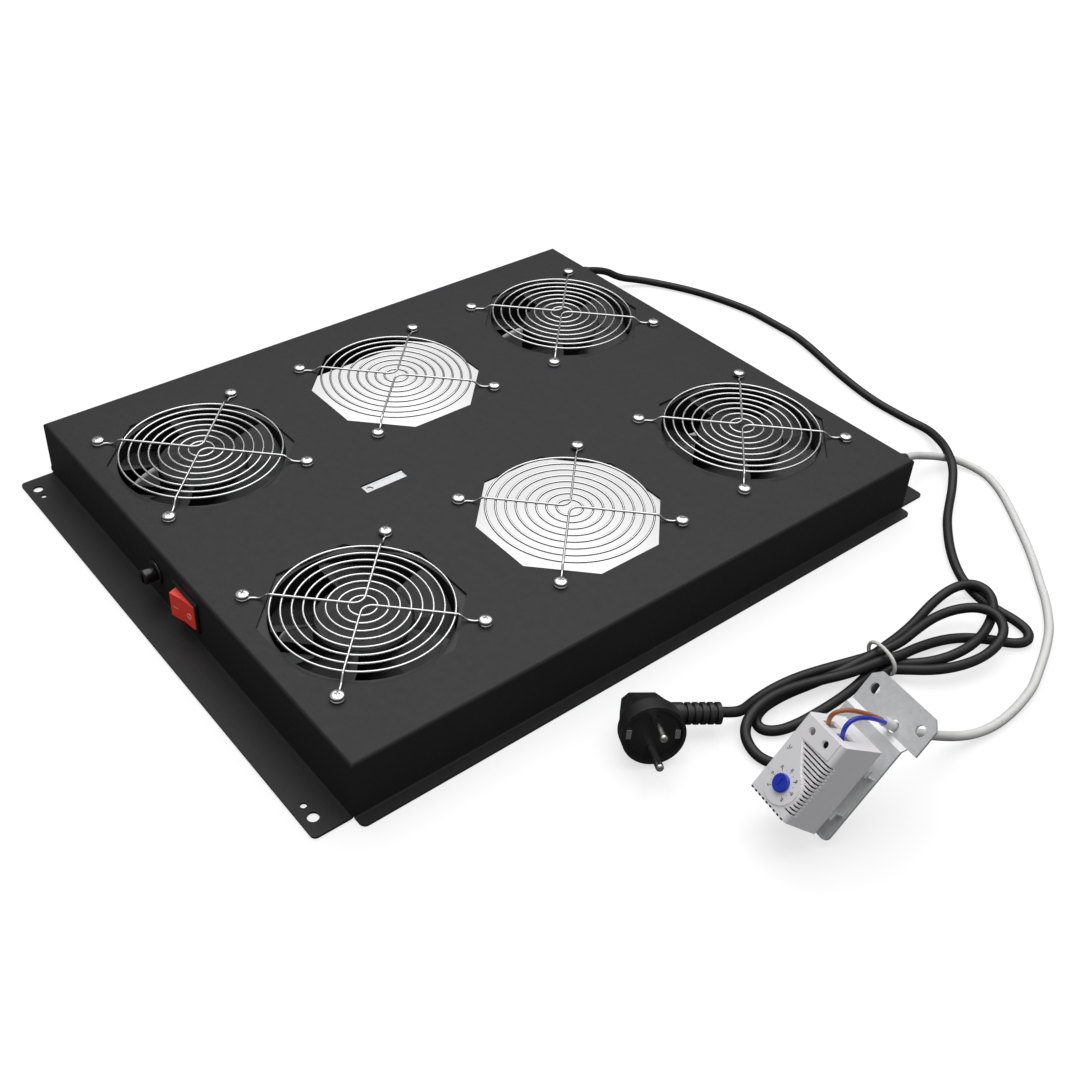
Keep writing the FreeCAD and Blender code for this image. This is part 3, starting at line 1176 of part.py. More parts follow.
def conductor(name, side):
    """One stripped core, arched from the sheath's end into its terminal."""
    terminal_x = side * TERMINAL_PITCH / 2
    start_x = CABLE_HOLE_X + side * CONDUCTOR * 0.55
    seat_y = TERMINAL_Y + TERMINAL_HOLE / 2
    seat_z = CORE_DEPTH + CONDUCTOR / 2 + 0.2
    points = [
        Vector(start_x, CABLE_HOLE_Y, SHEATH_END),
        Vector(start_x, CABLE_HOLE_Y, SHEATH_END + 14),
        Vector((start_x + terminal_x) / 2, CABLE_HOLE_Y - 6, seat_z + 3.5),
        Vector(terminal_x, seat_y + 8.7, seat_z + 4.3),
        Vector(terminal_x, seat_y, seat_z),
    ]
    return placed(cord_tube(name, points, CONDUCTOR, CONDUCTOR_SIDES), thermostat_place())


# ---- all sub-parts

def build():
    """Make every sub-part and write its STEP file."""
    os.makedirs("parts", exist_ok=True)
    save("tray_pan", make_pan())
    frame = fan_frame()
    rotor = fan_rotor()
    stator = fan_stator()
    guard = wire_guard()
    stators = []
    screws = []
    nuts = []
    fan_number = 0
    for number, (row, _column, centre) in enumerate(bay_centres(), start=1):
        save("fan_guard_%d" % number, moved(guard, centre))
        screws += [moved(guard_screw(), centre + lug) for lug in lug_points()]
        if not has_fan(row):
            nuts += [moved(plate_nut(), centre + lug) for lug in lug_points()]
            continue
        fan_number += 1
        save("fan_frame_%d" % fan_number, moved(frame, centre))
        save("fan_rotor_%d" % fan_number, moved(rotor, centre))
        stators.append(moved(stator, centre))
    save("fan_stators", *stators)
    save("guard_screws", *screws)
    save("guard_nuts", *nuts)
    save("terminal_bracket", terminal_bracket())
    save("terminal_block", terminal_block())
    save("terminal_screws", *terminal_screws())
    save("switch_housing", switch_housing())
    save("switch_rocker", switch_rocker())
    save("switch_tabs", *switch_tabs())
    save("fuse_holder", fuse_holder())
    save("fuse_holder_nut", fuse_nut())
    save("fuse_holder_tabs", *fuse_tabs())
    save("fuse_cap", fuse_cap())
    save("fuse_carrier", fuse_carrier())
    save("glass_fuse", fuse_link())
    save("mains_cord_gland", cord_gland(MAINS_GLAND_X, MAINS_CORD))
    save("sensor_cord_gland", cord_gland(SENSOR_GLAND_X, SENSOR_CORD))
    save("mains_cord", cord_tube("mains_cord", mains_route(), MAINS_CORD))
    save("mains_cord_hank", mains_hank())
    save("mains_cord_tail", cord_tube("mains_cord_tail", tail_route(), MAINS_CORD))
    save("cord_tie", cord_tie())
    save("sensor_cord", cord_tube("sensor_cord", sensor_route(), SENSOR_CORD))
    save("plug_body", plug_body())
    save("plug_pins", *plug_pins())
    save("plug_earth_clips", *plug_earth())
    save("thermostat_base", thermostat_base())
    save("thermostat_cover", thermostat_cover())
    save("thermostat_core", thermostat_core())
    save("thermostat_dial", thermostat_dial())
    save("thermostat_terminal_screws", *thermostat_screws())
    save("thermostat_rail_clip", rail_clip())
    save("din_rail", din_rail())
    save("din_rail_rivets", *rail_rivets())
    save("thermostat_bracket", thermostat_bracket())
    save("brown_conductor", conductor("brown_conductor", -1))
    save("blue_conductor", conductor("blue_conductor", 1))


build()
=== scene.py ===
"""Looks for a rack fan tray: its pan, wire guards, fans, switch gear, cords, plug and rail thermostat.

Lengths are metres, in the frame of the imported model: origin in the middle of the flanges' underside, +Z up,
the switch on the -Y wall. Every piece is made in place, so each object sits at the origin and its place is in
its mesh.
"""

from __future__ import annotations

import logging
import math
from dataclasses import dataclass, field
from enum import Enum
from functools import partial
from typing import Any, Iterable, Sequence

import bmesh
import bpy
from mathutils import Euler, Matrix, Vector

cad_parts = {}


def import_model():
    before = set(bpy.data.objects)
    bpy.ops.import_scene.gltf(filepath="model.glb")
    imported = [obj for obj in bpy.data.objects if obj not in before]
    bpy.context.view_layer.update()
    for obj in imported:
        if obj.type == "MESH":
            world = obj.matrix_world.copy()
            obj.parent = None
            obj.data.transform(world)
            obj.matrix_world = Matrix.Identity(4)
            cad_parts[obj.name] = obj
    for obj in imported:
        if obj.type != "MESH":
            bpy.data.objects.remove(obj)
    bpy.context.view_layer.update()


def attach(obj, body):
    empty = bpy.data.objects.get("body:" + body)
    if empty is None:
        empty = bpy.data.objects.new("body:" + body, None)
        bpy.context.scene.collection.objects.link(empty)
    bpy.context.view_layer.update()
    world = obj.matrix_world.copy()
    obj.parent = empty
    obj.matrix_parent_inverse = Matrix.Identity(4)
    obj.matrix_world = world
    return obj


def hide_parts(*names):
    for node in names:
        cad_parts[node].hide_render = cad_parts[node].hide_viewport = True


LOG = logging.getLogger("fan_tray")
MM = 0.001
WELD = 2e-6
FLAT_ANGLE = 0.6
Colour = tuple[float, float, float]
Point = tuple[float, float, float]


class Body(Enum):
    """The moving bodies that pieces ride on."""

    TRAY = "tray"
    ROTOR_1 = "rotor_1"
    ROTOR_2 = "rotor_2"
    ROTOR_3 = "rotor_3"
    ROTOR_4 = "rotor_4"
    ROCKER = "rocker"
    FUSE_CARRIER = "fuse_carrier_body"
    FUSE_KNOB = "fuse_knob"
    DIAL = "dial"


# --- shader graph


class Signal:
    """A shader value that can be used in Python arithmetic: each operator adds a Math node."""

    def __init__(self, graph: "Graph", socket: bpy.types.NodeSocket) -> None:
        """Wrap an output socket of a graph."""
        self.graph = graph
        self.socket = socket

    def _math(self, operation: str, left: Any, right: Any = None, clamp: bool = False) -> "Signal":
        """Add one Math node.

        Args:
            operation: Blender's name of the operation.
            left: the first operand, a Signal or a number.
            right: the second operand, if the operation takes one.
            clamp: keep the result between 0 and 1.

        Returns:
            The node's result.
        """
        operands = [left] if right is None else [left, right]
        settings = {"operation": operation, "use_clamp": clamp}
        node = self.graph.node("ShaderNodeMath", settings, dict(enumerate(operands)))
        return Signal(self.graph, node.outputs[0])

    def __add__(self, other: Any) -> "Signal":
        """self + other."""
        return self._math("ADD", self, other)

    def __sub__(self, other: Any) -> "Signal":
        """self - other."""
        return self._math("SUBTRACT", self, other)

    def __rsub__(self, other: Any) -> "Signal":
        """other - self."""
        return self._math("SUBTRACT", other, self)

    def __mul__(self, other: Any) -> "Signal":
        """self * other."""
        return self._math("MULTIPLY", self, other)

    def __pow__(self, other: Any) -> "Signal":
        """self ** other."""
        return self._math("POWER", self, other)

    def __abs__(self) -> "Signal":
        """The value without its sign."""
        return self._math("ABSOLUTE", self)

    def clamped(self) -> "Signal":
        """The value kept between 0 and 1."""
        return self._math("ADD", self, 0.0, clamp=True)


class Graph:
    """The node tree of one material, or of the world."""

    def __init__(self, tree: bpy.types.NodeTree, output: str = "ShaderNodeOutputMaterial") -> None:
        """Start an empty tree with its output node.

        Args:
            tree: the tree to fill.
            output: the type of the output node.
        """
        tree.nodes.clear()
        self.tree = tree
        self.output = tree.nodes.new(output)
        self._place: bpy.types.Node | None = None

    def node(
        self, kind: str, settings: dict[str, Any] | None = None, inputs: dict[Any, Any] | None = None
    ) -> bpy.types.Node:
        """Add a node.

        Args:
            kind: the node's type name.
            settings: attributes that are set first; "stops" fills a colour ramp.
            inputs: socket name or index to a Signal, a socket or a plain value.

        Returns:
            The node.
        """
        node = self.tree.nodes.new(kind)
        for key, value in (settings or {}).items():
            if key == "stops":
                self._fill_ramp(node.color_ramp, value)
            else:
                setattr(node, key, value)
        for key, value in (inputs or {}).items():
            self.feed(node.inputs[key], value)
        return node

    def feed(self, socket: bpy.types.NodeSocket, value: Any) -> None:
        """Link a Signal or a socket to an input, or set the input's own value."""
        if isinstance(value, Signal):
            value = value.socket
        if isinstance(value, bpy.types.NodeSocket):
            self.tree.links.new(value, socket)
        elif hasattr(socket.default_value, "__len__") and len(socket.default_value) == 4 and len(value) == 3:
            socket.default_value = (*value, 1.0)
        else:
            socket.default_value = value

    @staticmethod
    def _fill_ramp(ramp: bpy.types.ColorRamp, stops: Sequence[tuple[float, float]]) -> None:
        """Set a grey ramp's stops, each a position and a level."""
        while len(ramp.elements) > 1:
            ramp.elements.remove(ramp.elements[-1])
        for index, (position, level) in enumerate(stops):
            element = ramp.elements[0] if index == 0 else ramp.elements.new(position)
            element.position = position
            element.color = (level, level, level, 1.0)

    def place(self) -> bpy.types.NodeSocket:
        """The piece's own coordinates."""
        if self._place is None:
            self._place = self.node("ShaderNodeTexCoord")
        return self._place.outputs["Object"]

    def stretched(self, scale: Point, turn: Point = (0.0, 0.0, 0.0)) -> bpy.types.NodeSocket:
        """The piece's own coordinates, turned and then scaled along each axis."""
        mapping = self.node("ShaderNodeMapping", {}, {"Vector": self.place(), "Scale": scale, "Rotation": turn})
        return mapping.outputs[0]

    def noise(self, scale: float, detail: float = 2.0, vector: Any = None) -> Signal:
        """Fractal noise from 0 to 1, at a number of cells per metre."""
        inputs = {"Vector": vector or self.place(), "Scale": scale, "Detail": detail, "Roughness": 0.55}
        return Signal(self, self.node("ShaderNodeTexNoise", {}, inputs).outputs[0])

    def cells(self, scale: float, feature: str = "F1") -> bpy.types.Node:
        """A Voronoi pattern at a number of cells per metre."""
        return self.node("ShaderNodeTexVoronoi", {"feature": feature}, {"Vector": self.place(), "Scale": scale})

    def ramp(self, value: Signal, stops: Sequence[tuple[float, float]]) -> Signal:
        """Reshape a value by a grey ramp."""
        return Signal(self, self.node("ShaderNodeValToRGB", {"stops": stops}, {0: value}).outputs[0])

    def blend(self, share: Any, low: Any, high: Any) -> bpy.types.NodeSocket:
        """Mix two colours by a share."""
        node = self.node("ShaderNodeMix", {"data_type": "RGBA"})
        self.feed(node.inputs[0], share)
        self.feed(node.inputs[6], low)
        self.feed(node.inputs[7], high)
        return node.outputs[2]

    def bump(self, height: Signal, distance: float, strength: float = 1.0) -> bpy.types.NodeSocket:
        """A normal from a height that spans a distance in metres."""
        node = self.node("ShaderNodeBump", {}, {"Height": height, "Distance": distance, "Strength": strength})
        return node.outputs[0]


# --- finishes


def shade(colour: Colour, factor: float) -> Colour:
    """A colour made darker or lighter by a factor."""
    return tuple(min(1.0, c * factor) for c in colour)


@dataclass(frozen=True)
class Finish:
    """A smooth moulded or painted surface with faint clouding and a fine grain."""

    name: str
    slot: str
    colour: Colour
    roughness: float = 0.4
    metallic: float = 0.0
    specular: float = 0.5
    coat: float = 0.0
    cloud: float = 0.12
    cloud_scale: float = 60.0
    grain: float = 0.02 * MM
    grain_scale: float = 1500.0
    extra: tuple[tuple[str, Any], ...] = ()

    def tint(self, graph: Graph) -> Any:
        """The base colour: two shades clouded together."""
        clouds = graph.ramp(graph.noise(self.cloud_scale, 3.0), [(0.3, 0.0), (0.7, 1.0)])
        return graph.blend(clouds, shade(self.colour, 1 - self.cloud), shade(self.colour, 1 + self.cloud))

    def polish(self, graph: Graph) -> Signal:
        """The roughness: the finish's own, a little smeared."""
        smear = graph.noise(self.cloud_scale * 2.3, 2.0)
        return (smear - 0.5) * (0.35 * self.roughness) + self.roughness

    def relief(self, graph: Graph) -> Any:
        """The normal: a fine grain."""
        return graph.bump(graph.noise(self.grain_scale, 2.0), self.grain)

    def material(self) -> bpy.types.Material:
        """The finish's material, made once.

        Returns:
            The Blender material.
        """
        title = f"finish_{self.name}"
        made = bpy.data.materials.get(title)
        if made is not None:
            return made
        made = bpy.data.materials.new(title)
        made.use_nodes = True
        graph = Graph(made.node_tree)
        inputs = {
            "Base Color": self.tint(graph),
            "Roughness": self.polish(graph),
            "Metallic": self.metallic,
            "Specular IOR Level": self.specular,
            "Coat Weight": self.coat,
            "Coat Roughness": 0.12,
            "Normal": self.relief(graph),
        }
        inputs.update(dict(self.extra))
        surface = graph.node("ShaderNodeBsdfPrincipled", {}, inputs)
        graph.feed(graph.output.inputs["Surface"], surface.outputs[0])
        return made


@dataclass(frozen=True)
class PowderCoat(Finish):
    """Textured powder paint: a fine pebbled skin whose crests carry a painted highlight."""

    pebble: float = 0.09 * MM
    pebble_scale: float = 620.0

    def tint(self, graph: Graph) -> Any:
        """Dark paint, clouded, with its pebbles painted lighter than their valleys: a painted highlight on the
        crests and painted shade in the valleys.
        """
        clouds = graph.noise(9.0, 3.0)
        pebbles = graph.noise(self.pebble_scale, 2.0)
        share = (clouds * 0.35 + pebbles * 0.65).clamped()
        return graph.blend(share, shade(self.colour, 0.82), shade(self.colour, 1.18))

    def relief(self, graph: Graph) -> Any:
        """The pebbled skin over a faint unevenness of the sheet."""
        pebbles = graph.ramp(graph.noise(self.pebble_scale, 2.5), [(0.25, 0.0), (0.75, 1.0)])
        return graph.bump(pebbles, self.pebble, 0.8)


@dataclass(frozen=True)
class Plating(Finish):
    """Bright plated wire or screw, with a fine grain and dulled spots."""

    def tint(self, graph: Graph) -> Any:
        """Plate colour with slightly warmer dull spots."""
        spots = graph.ramp(graph.noise(700.0, 3.0), [(0.45, 0.0), (0.75, 1.0)])
        return graph.blend(spots * 0.3, self.colour, shade(self.colour, 0.85))

    def polish(self, graph: Graph) -> Signal:
        """Mostly bright, duller in spots."""
        return graph.ramp(graph.noise(900.0, 2.0), [(0.3, self.roughness), (0.8, self.roughness + 0.1)])


@dataclass(frozen=True)
class Galvanised(Finish):
    """Zinc-coated sheet: crystal spangle in light and dark greys, with fine rolling lines."""

    spangle_scale: float = 420.0

    def tint(self, graph: Graph) -> Any:
        """Each crystal of its own grey."""
        crystal = graph.node("ShaderNodeSeparateColor", {}, {0: graph.cells(self.spangle_scale).outputs["Color"]})
        share = (Signal(graph, crystal.outputs[0]) * 0.6 + graph.noise(45.0, 3.0) * 0.4).clamped()
        return graph.blend(share, shade(self.colour, 0.93), shade(self.colour, 1.07))

    def polish(self, graph: Graph) -> Signal:
        """Each crystal of its own dullness."""
        crystal = graph.node("ShaderNodeSeparateColor", {}, {0: graph.cells(self.spangle_scale).outputs["Color"]})
        return Signal(graph, crystal.outputs[1]) * 0.16 + self.roughness

    def relief(self, graph: Graph) -> Any:
        """Rolling lines along the sheet."""
        return graph.bump(graph.noise(1.0, 2.0, graph.stretched((2600.0, 160.0, 2600.0))), 0.012 * MM)


@dataclass(frozen=True)
class Jacket(Finish):
    """Extruded cord jacket: smooth, faintly lumpy where the cores lie under it."""

    lump: float = 0.10 * MM

    def relief(self, graph: Graph) -> Any:
        """Long faint lumps and a fine extrusion grain."""
        height = graph.noise(110.0, 2.0) * 0.8 + graph.noise(1900.0, 1.0) * 0.2
        return graph.bump(height, self.lump)


@dataclass(frozen=True)
class Moulded(Finish):
    """Spark-eroded moulded housing: an even matt grain and a fine speckle of tone."""

    def tint(self, graph: Graph) -> Any:
        """Clouded plastic with a fine speckle."""
        share = (graph.noise(self.cloud_scale, 3.0) * 0.5 + graph.noise(2400.0, 1.0) * 0.5).clamped()
        return graph.blend(share, shade(self.colour, 1 - self.cloud), shade(self.colour, 1 + self.cloud))


POWDER = PowderCoat("powder_coat", "powder_coat", (0.030, 0.030, 0.032), roughness=0.5, specular=0.25)
FRAME_BLACK = Finish("fan_frame_enamel", "fan_frame", (0.020, 0.020, 0.021), roughness=0.36, specular=0.4)
FAN_BLACK = Moulded("fan_moulding", "fan_plastic", (0.018, 0.018, 0.019), roughness=0.42, specular=0.4)
CORE_METAL = Plating("motor_core", "motor_metal", (0.40, 0.37, 0.33), roughness=0.45, metallic=1.0)
GUARD_CHROME = Plating("guard_plating", "guard_wire", (0.80, 0.80, 0.81), roughness=0.16, metallic=1.0)
SCREW_CHROME = Plating("screw_plating", "screw_bright", (0.78, 0.78, 0.79), roughness=0.14, metallic=1.0)
ZINC = Plating("zinc_plating", "zinc_steel", (0.66, 0.67, 0.69), roughness=0.24, metallic=1.0)
DULL_STEEL = Plating("dull_steel", "zinc_steel", (0.05, 0.05, 0.05), roughness=0.5, metallic=0.6)
SHEET_ZINC = Galvanised("galvanised_sheet", "galvanised", (0.80, 0.81, 0.82), roughness=0.38, metallic=0.3)
BLOCK_GREY = Moulded("terminal_moulding", "light_plastic", (0.50, 0.44, 0.38), roughness=0.5, cloud=0.05)
# The faint emission below is a painted glow that lifts the case's shaded faces; the case is no lamp.
CASE_GREY_PAINTED_GLOW = Moulded(
    "case_moulding_painted_glow", "light_plastic", (0.86, 0.85, 0.87), roughness=0.5, cloud=0.03, grain=0.03 * MM,
    extra=(("Emission Color", (0.92, 0.90, 0.93, 1.0)), ("Emission Strength", 0.08)),
)
SWITCH_BLACK = Moulded("switch_moulding", "black_plastic", (0.014, 0.014, 0.015), roughness=0.38)
# The red emission below is a painted glow that brightens the rocker on the shaded wall; the rocker is no lamp.
ROCKER_RED_PAINTED_GLOW = Finish(
    "rocker_red", "rocker_red", (0.70, 0.040, 0.022), roughness=0.28, cloud=0.05,
    extra=(("Emission Color", (0.75, 0.05, 0.03, 1.0)), ("Emission Strength", 0.22)),
)
MARK_WHITE = Finish("switch_marks", "rocker_red", (0.85, 0.72, 0.68), roughness=0.5, cloud=0.03)
MARK_GREY = Finish("dial_print", "light_plastic", (0.05, 0.05, 0.055), roughness=0.6, cloud=0.05)
GLOSS_BLACK = Finish("gloss_black", "gloss_black", (0.012, 0.012, 0.013), roughness=0.16, coat=0.3)
TIN_BRASS = Plating("tinned_brass", "tinned_brass", (0.72, 0.66, 0.50), roughness=0.3, metallic=1.0)
FUSE_GLASS = Finish(
    "fuse_glass", "fuse_glass", (0.85, 0.88, 0.88), roughness=0.06, cloud=0.02,
    extra=(("Transmission Weight", 0.9), ("IOR", 1.47)),
)
BLACK_CORD = Jacket("cord_black", "cord_black", (0.016, 0.016, 0.017), roughness=0.42, cloud=0.15, specular=0.45)
WHITE_CORD = Jacket("cord_white", "cord_white", (0.86, 0.86, 0.85), roughness=0.4, cloud=0.03, lump=0.06 * MM)
NYLON = Finish(
    "tie_nylon", "tie_nylon", (0.80, 0.80, 0.78), roughness=0.35, cloud=0.03,
    extra=(("Subsurface Weight", 0.3), ("Subsurface Radius", (0.002, 0.002, 0.002))),
)
PLUG_BLACK = Moulded("plug_moulding", "black_rubber", (0.018, 0.018, 0.019), roughness=0.4, grain=0.035 * MM)
NICKEL = Plating("pin_nickel", "nickel", (0.76, 0.75, 0.73), roughness=0.16, metallic=1.0)
DIAL_BLUE = Finish("dial_blue", "dial_blue", (0.020, 0.050, 0.58), roughness=0.26, cloud=0.05)
CORE = partial(Jacket, roughness=0.32, cloud=0.08, lump=0.04 * MM)
CORE_BROWN = CORE("core_brown", "insulation_brown", (0.50, 0.17, 0.055))
CORE_BLUE = CORE("core_blue", "insulation_blue", (0.035, 0.060, 0.62))


# --- mesh helpers


def link(obj: bpy.types.Object) -> bpy.types.Object:
    """Put an object in the scene."""
    bpy.context.scene.collection.objects.link(obj)
    return obj


def mesh_object(name: str, bm: bmesh.types.BMesh) -> bpy.types.Object:
    """Turn an edit mesh into an object.

    Args:
        name: the object's name.
        bm: the edit mesh, which is freed.

    Returns:
        The object.
    """
    mesh = bpy.data.meshes.new(name)
    bm.to_mesh(mesh)
    bm.free()
    return link(bpy.data.objects.new(name, mesh))


def plain_mesh(obj: bpy.types.Object, name: str) -> bpy.types.Object:
    """Replace an object by the plain mesh that its modifiers give.

    Args:
        obj: the object, which is removed.
        name: the name of the new one.

    Returns:
        The new object.
    """
    bpy.context.view_layer.update()
    evaluated = obj.evaluated_get(bpy.context.evaluated_depsgraph_get())
    mesh = bpy.data.meshes.new_from_object(evaluated)
    bpy.data.objects.remove(obj)
    mesh.name = name
    return link(bpy.data.objects.new(name, mesh))


def soften(obj: bpy.types.Object, angle: float = 35.0, bevel: float = 0.0, segments: int = 2) -> bpy.types.Object:
    """Smooth an object's shading below an angle, and round its edges.

    Args:
        obj: a mesh object.
        angle: the shading's limit, in degrees.
        bevel: the edge radius, or 0 for none.
        segments: the bevel's segments.

    Returns:
        The same object.
    """
    mesh = obj.data
    mesh.shade_smooth()
    if bevel > 0:
        edge = obj.modifiers.new("edge", "BEVEL")
        edge.width = bevel
        edge.segments = segments
        edge.limit_method = "ANGLE"
        edge.angle_limit = math.radians(angle)
        edge.use_clamp_overlap = True
        obj.modifiers.new("normals", "WEIGHTED_NORMAL").keep_sharp = True
    else:
        mesh.set_sharp_from_angle(angle=math.radians(angle))
    return obj


def dress(obj: bpy.types.Object, finish: Finish, body: Body, replaced: Sequence[str] = ()) -> bpy.types.Object:
    """Give a piece its finish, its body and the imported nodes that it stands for.

    Args:
        obj: the piece.
        finish: its finish.
        body: the body that it rides on.
        replaced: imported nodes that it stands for.

    Returns:
        The same object.
    """
    obj.data.materials.clear()
    obj.data.materials.append(finish.material())
    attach(obj, body.value)
    if replaced:
        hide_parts(*replaced)
    LOG.info("piece %s: finish %s, on %s", obj.name, finish.name, body.value)
    return obj


def heading(degrees: float) -> Vector:
    """A level unit vector at an angle from the X axis."""
    angle = math.radians(degrees)
    return Vector((math.cos(angle), math.sin(angle), 0))


def sweep(
    bm: bmesh.types.BMesh, path: Sequence[Vector], radius: float, sides: int = 8, closed: bool = False
) -> None:
    """Add a round wire along a path.

    Args:
        bm: the edit mesh to add to.
        path: the wire's centreline.
        radius: half its diameter.
        sides: corners of its section.
        closed: join the end to the start.
    """
    count = len(path)
    rings = []
    side = None
    for i, at in enumerate(path):
        before = path[i - 1] if (i or closed) else at
        after = path[(i + 1) % count] if (i < count - 1 or closed) else at
        along = (after - before).normalized()
        if side is None:
            side = along.orthogonal().normalized()
        side = (side - along * side.dot(along)).normalized()
        up = along.cross(side)
        turns = [2 * math.pi * k / sides for k in range(sides)]
        rings.append([bm.verts.new(at + (side * math.cos(a) + up * math.sin(a)) * radius) for a in turns])
    pairs = list(zip(rings, rings[1:])) + ([(rings[-1], rings[0])] if closed else [])
    for low, high in pairs:
        for k in range(sides):
            bm.faces.new((low[k], low[(k + 1) % sides], high[(k + 1) % sides], high[k]))
    if not closed:
        bm.faces.new(list(reversed(rings[0])))
        bm.faces.new(rings[-1])


def lathe(bm: bmesh.types.BMesh, profile: Sequence[tuple[float, float]], place: Matrix, steps: int = 40) -> None:
    """Add a solid of revolution about the local Z axis.

    Args:
        bm: the edit mesh to add to.
        profile: radius and height pairs, from the lower pole to the upper one.
        place: where the local frame stands.
        steps: facets round the axis.
    """
    rings = []
    for radius, height in profile:
        if radius <= 0:
            rings.append([bm.verts.new(place @ Vector((0, 0, height)))])
            continue
        turns = [2 * math.pi * k / steps for k in range(steps)]
        points = [Vector((radius * math.cos(a), radius * math.sin(a), height)) for a in turns]
        rings.append([bm.verts.new(place @ p) for p in points])
    for low, high in zip(rings, rings[1:]):
        for k in range(steps):
            nxt = (k + 1) % steps
            if len(low) == 1:
                bm.faces.new((low[0], high[nxt], high[k]))
            elif len(high) == 1:
                bm.faces.new((low[k], low[nxt], high[0]))
            else:
                bm.faces.new((low[k], low[nxt], high[nxt], high[k]))


def add_box(bm: bmesh.types.BMesh, low: Point, high: Point, place: Matrix | None = None) -> None:
    """Add a box between two corners of a local frame."""
    centre = (Vector(low) + Vector(high)) / 2
    size = Vector(high) - Vector(low)
    matrix = (place or Matrix.Identity(4)) @ Matrix.Translation(centre) @ Matrix.Diagonal((*size, 1.0))
    bmesh.ops.create_cube(bm, size=1.0, matrix=matrix)


def restyle(
    node: str, name: str, finish: Finish, body: Body = Body.TRAY, angle: float = 30.0, bevel: float = 0.0,
    segments: int = 2,
) -> bpy.types.Object:
    """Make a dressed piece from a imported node's own shape, with merged facets and rounded edges.

    Args:
        node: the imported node.
        name: the piece's name.
        finish: its finish.
        body: the body that it rides on.
        angle: the shading's limit, in degrees.
        bevel: the edge radius, or 0 for none.
        segments: the bevel's segments.

    Returns:
        The piece.
    """
    source = bpy.data.objects[node].data
    mesh = bpy.data.meshes.new(name)
    mesh.from_pydata([v.co for v in source.vertices], [], [list(p.vertices) for p in source.polygons])
    bm = bmesh.new()
    bm.from_mesh(mesh)
    bpy.data.meshes.remove(mesh)
    bmesh.ops.remove_doubles(bm, verts=bm.verts, dist=WELD)
    bmesh.ops.dissolve_limit(bm, angle_limit=math.radians(FLAT_ANGLE), verts=bm.verts, edges=bm.edges)
    return dress(soften(mesh_object(name, bm), angle, bevel, segments), finish, body, (node,))


# --- geometry nodes


class Pattern:
    """A Geometry Nodes tree that is built here, run once on a carrier and turned into a plain mesh."""

    def __init__(self, name: str) -> None:
        """Start a tree with its geometry in and out."""
        self.tree = bpy.data.node_groups.new(name, "GeometryNodeTree")
        self.tree.interface.new_socket(name="Geometry", in_out="INPUT", socket_type="NodeSocketGeometry")
        self.tree.interface.new_socket(name="Geometry", in_out="OUTPUT", socket_type="NodeSocketGeometry")
        self.source = self.tree.nodes.new("NodeGroupInput")
        self.sink = self.tree.nodes.new("NodeGroupOutput")
        self.values: dict[str, Any] = {}

    def given(self, name: str, kind: str, value: Any) -> bpy.types.NodeSocket:
        """Add a named input.

        Args:
            name: the input's name.
            kind: Float, Int, Vector, Object or Material.
            value: what the modifier sets it to.

        Returns:
            The socket to link from.
        """
        item = self.tree.interface.new_socket(name=name, in_out="INPUT", socket_type="NodeSocket" + kind)
        self.values[item.identifier] = value
        return next(s for s in self.source.outputs if s.identifier == item.identifier)

    def node(self, kind: str, settings: dict[str, Any] | None = None, inputs: dict[Any, Any] | None = None) -> Any:
        """Add a node, set its attributes and then feed its sockets; returns the node."""
        node = self.tree.nodes.new(kind)
        for key, value in (settings or {}).items():
            setattr(node, key, value)
        for key, value in (inputs or {}).items():
            if isinstance(value, bpy.types.NodeSocket):
                self.tree.links.new(value, node.inputs[key])
            else:
                node.inputs[key].default_value = value
        return node

    def copies(self, points: Any, instance: bpy.types.NodeSocket, **inputs: bpy.types.NodeSocket) -> Any:
        """Add a node that copies an instance to each point that another node gives; returns it."""
        fed = {"Points": points.outputs[0], "Instance": instance, **inputs}
        return self.node("GeometryNodeInstanceOnPoints", {}, fed)

    def finish(self, geometry: bpy.types.NodeSocket, finish: Finish) -> None:
        """End the tree: realise what is instanced and set its material."""
        real = self.node("GeometryNodeRealizeInstances", {}, {0: geometry})
        cover = self.given("Finish", "Material", finish.material())
        done = self.node("GeometryNodeSetMaterial", {}, {"Geometry": real.outputs[0], "Material": cover})
        self.tree.links.new(done.outputs[0], self.sink.inputs[0])

    def run(self, carrier: bpy.types.Object, name: str) -> bpy.types.Object:
        """Run the tree on a carrier.

        Args:
            carrier: the object that gives the input geometry, which is removed.
            name: the name of the plain mesh that results.

        Returns:
            The plain mesh object.
        """
        modifier = carrier.modifiers.new(name, "NODES")
        modifier.node_group = self.tree
        for identifier, value in self.values.items():
            modifier[identifier] = value
        made = plain_mesh(carrier, name)
        bpy.data.node_groups.remove(self.tree)
        return made


def points_object(name: str, points: Iterable[Vector]) -> bpy.types.Object:
    """An object of loose points, to carry a pattern."""
    mesh = bpy.data.meshes.new(name)
    mesh.from_pydata([tuple(p) for p in points], [], [])
    return link(bpy.data.objects.new(name, mesh))


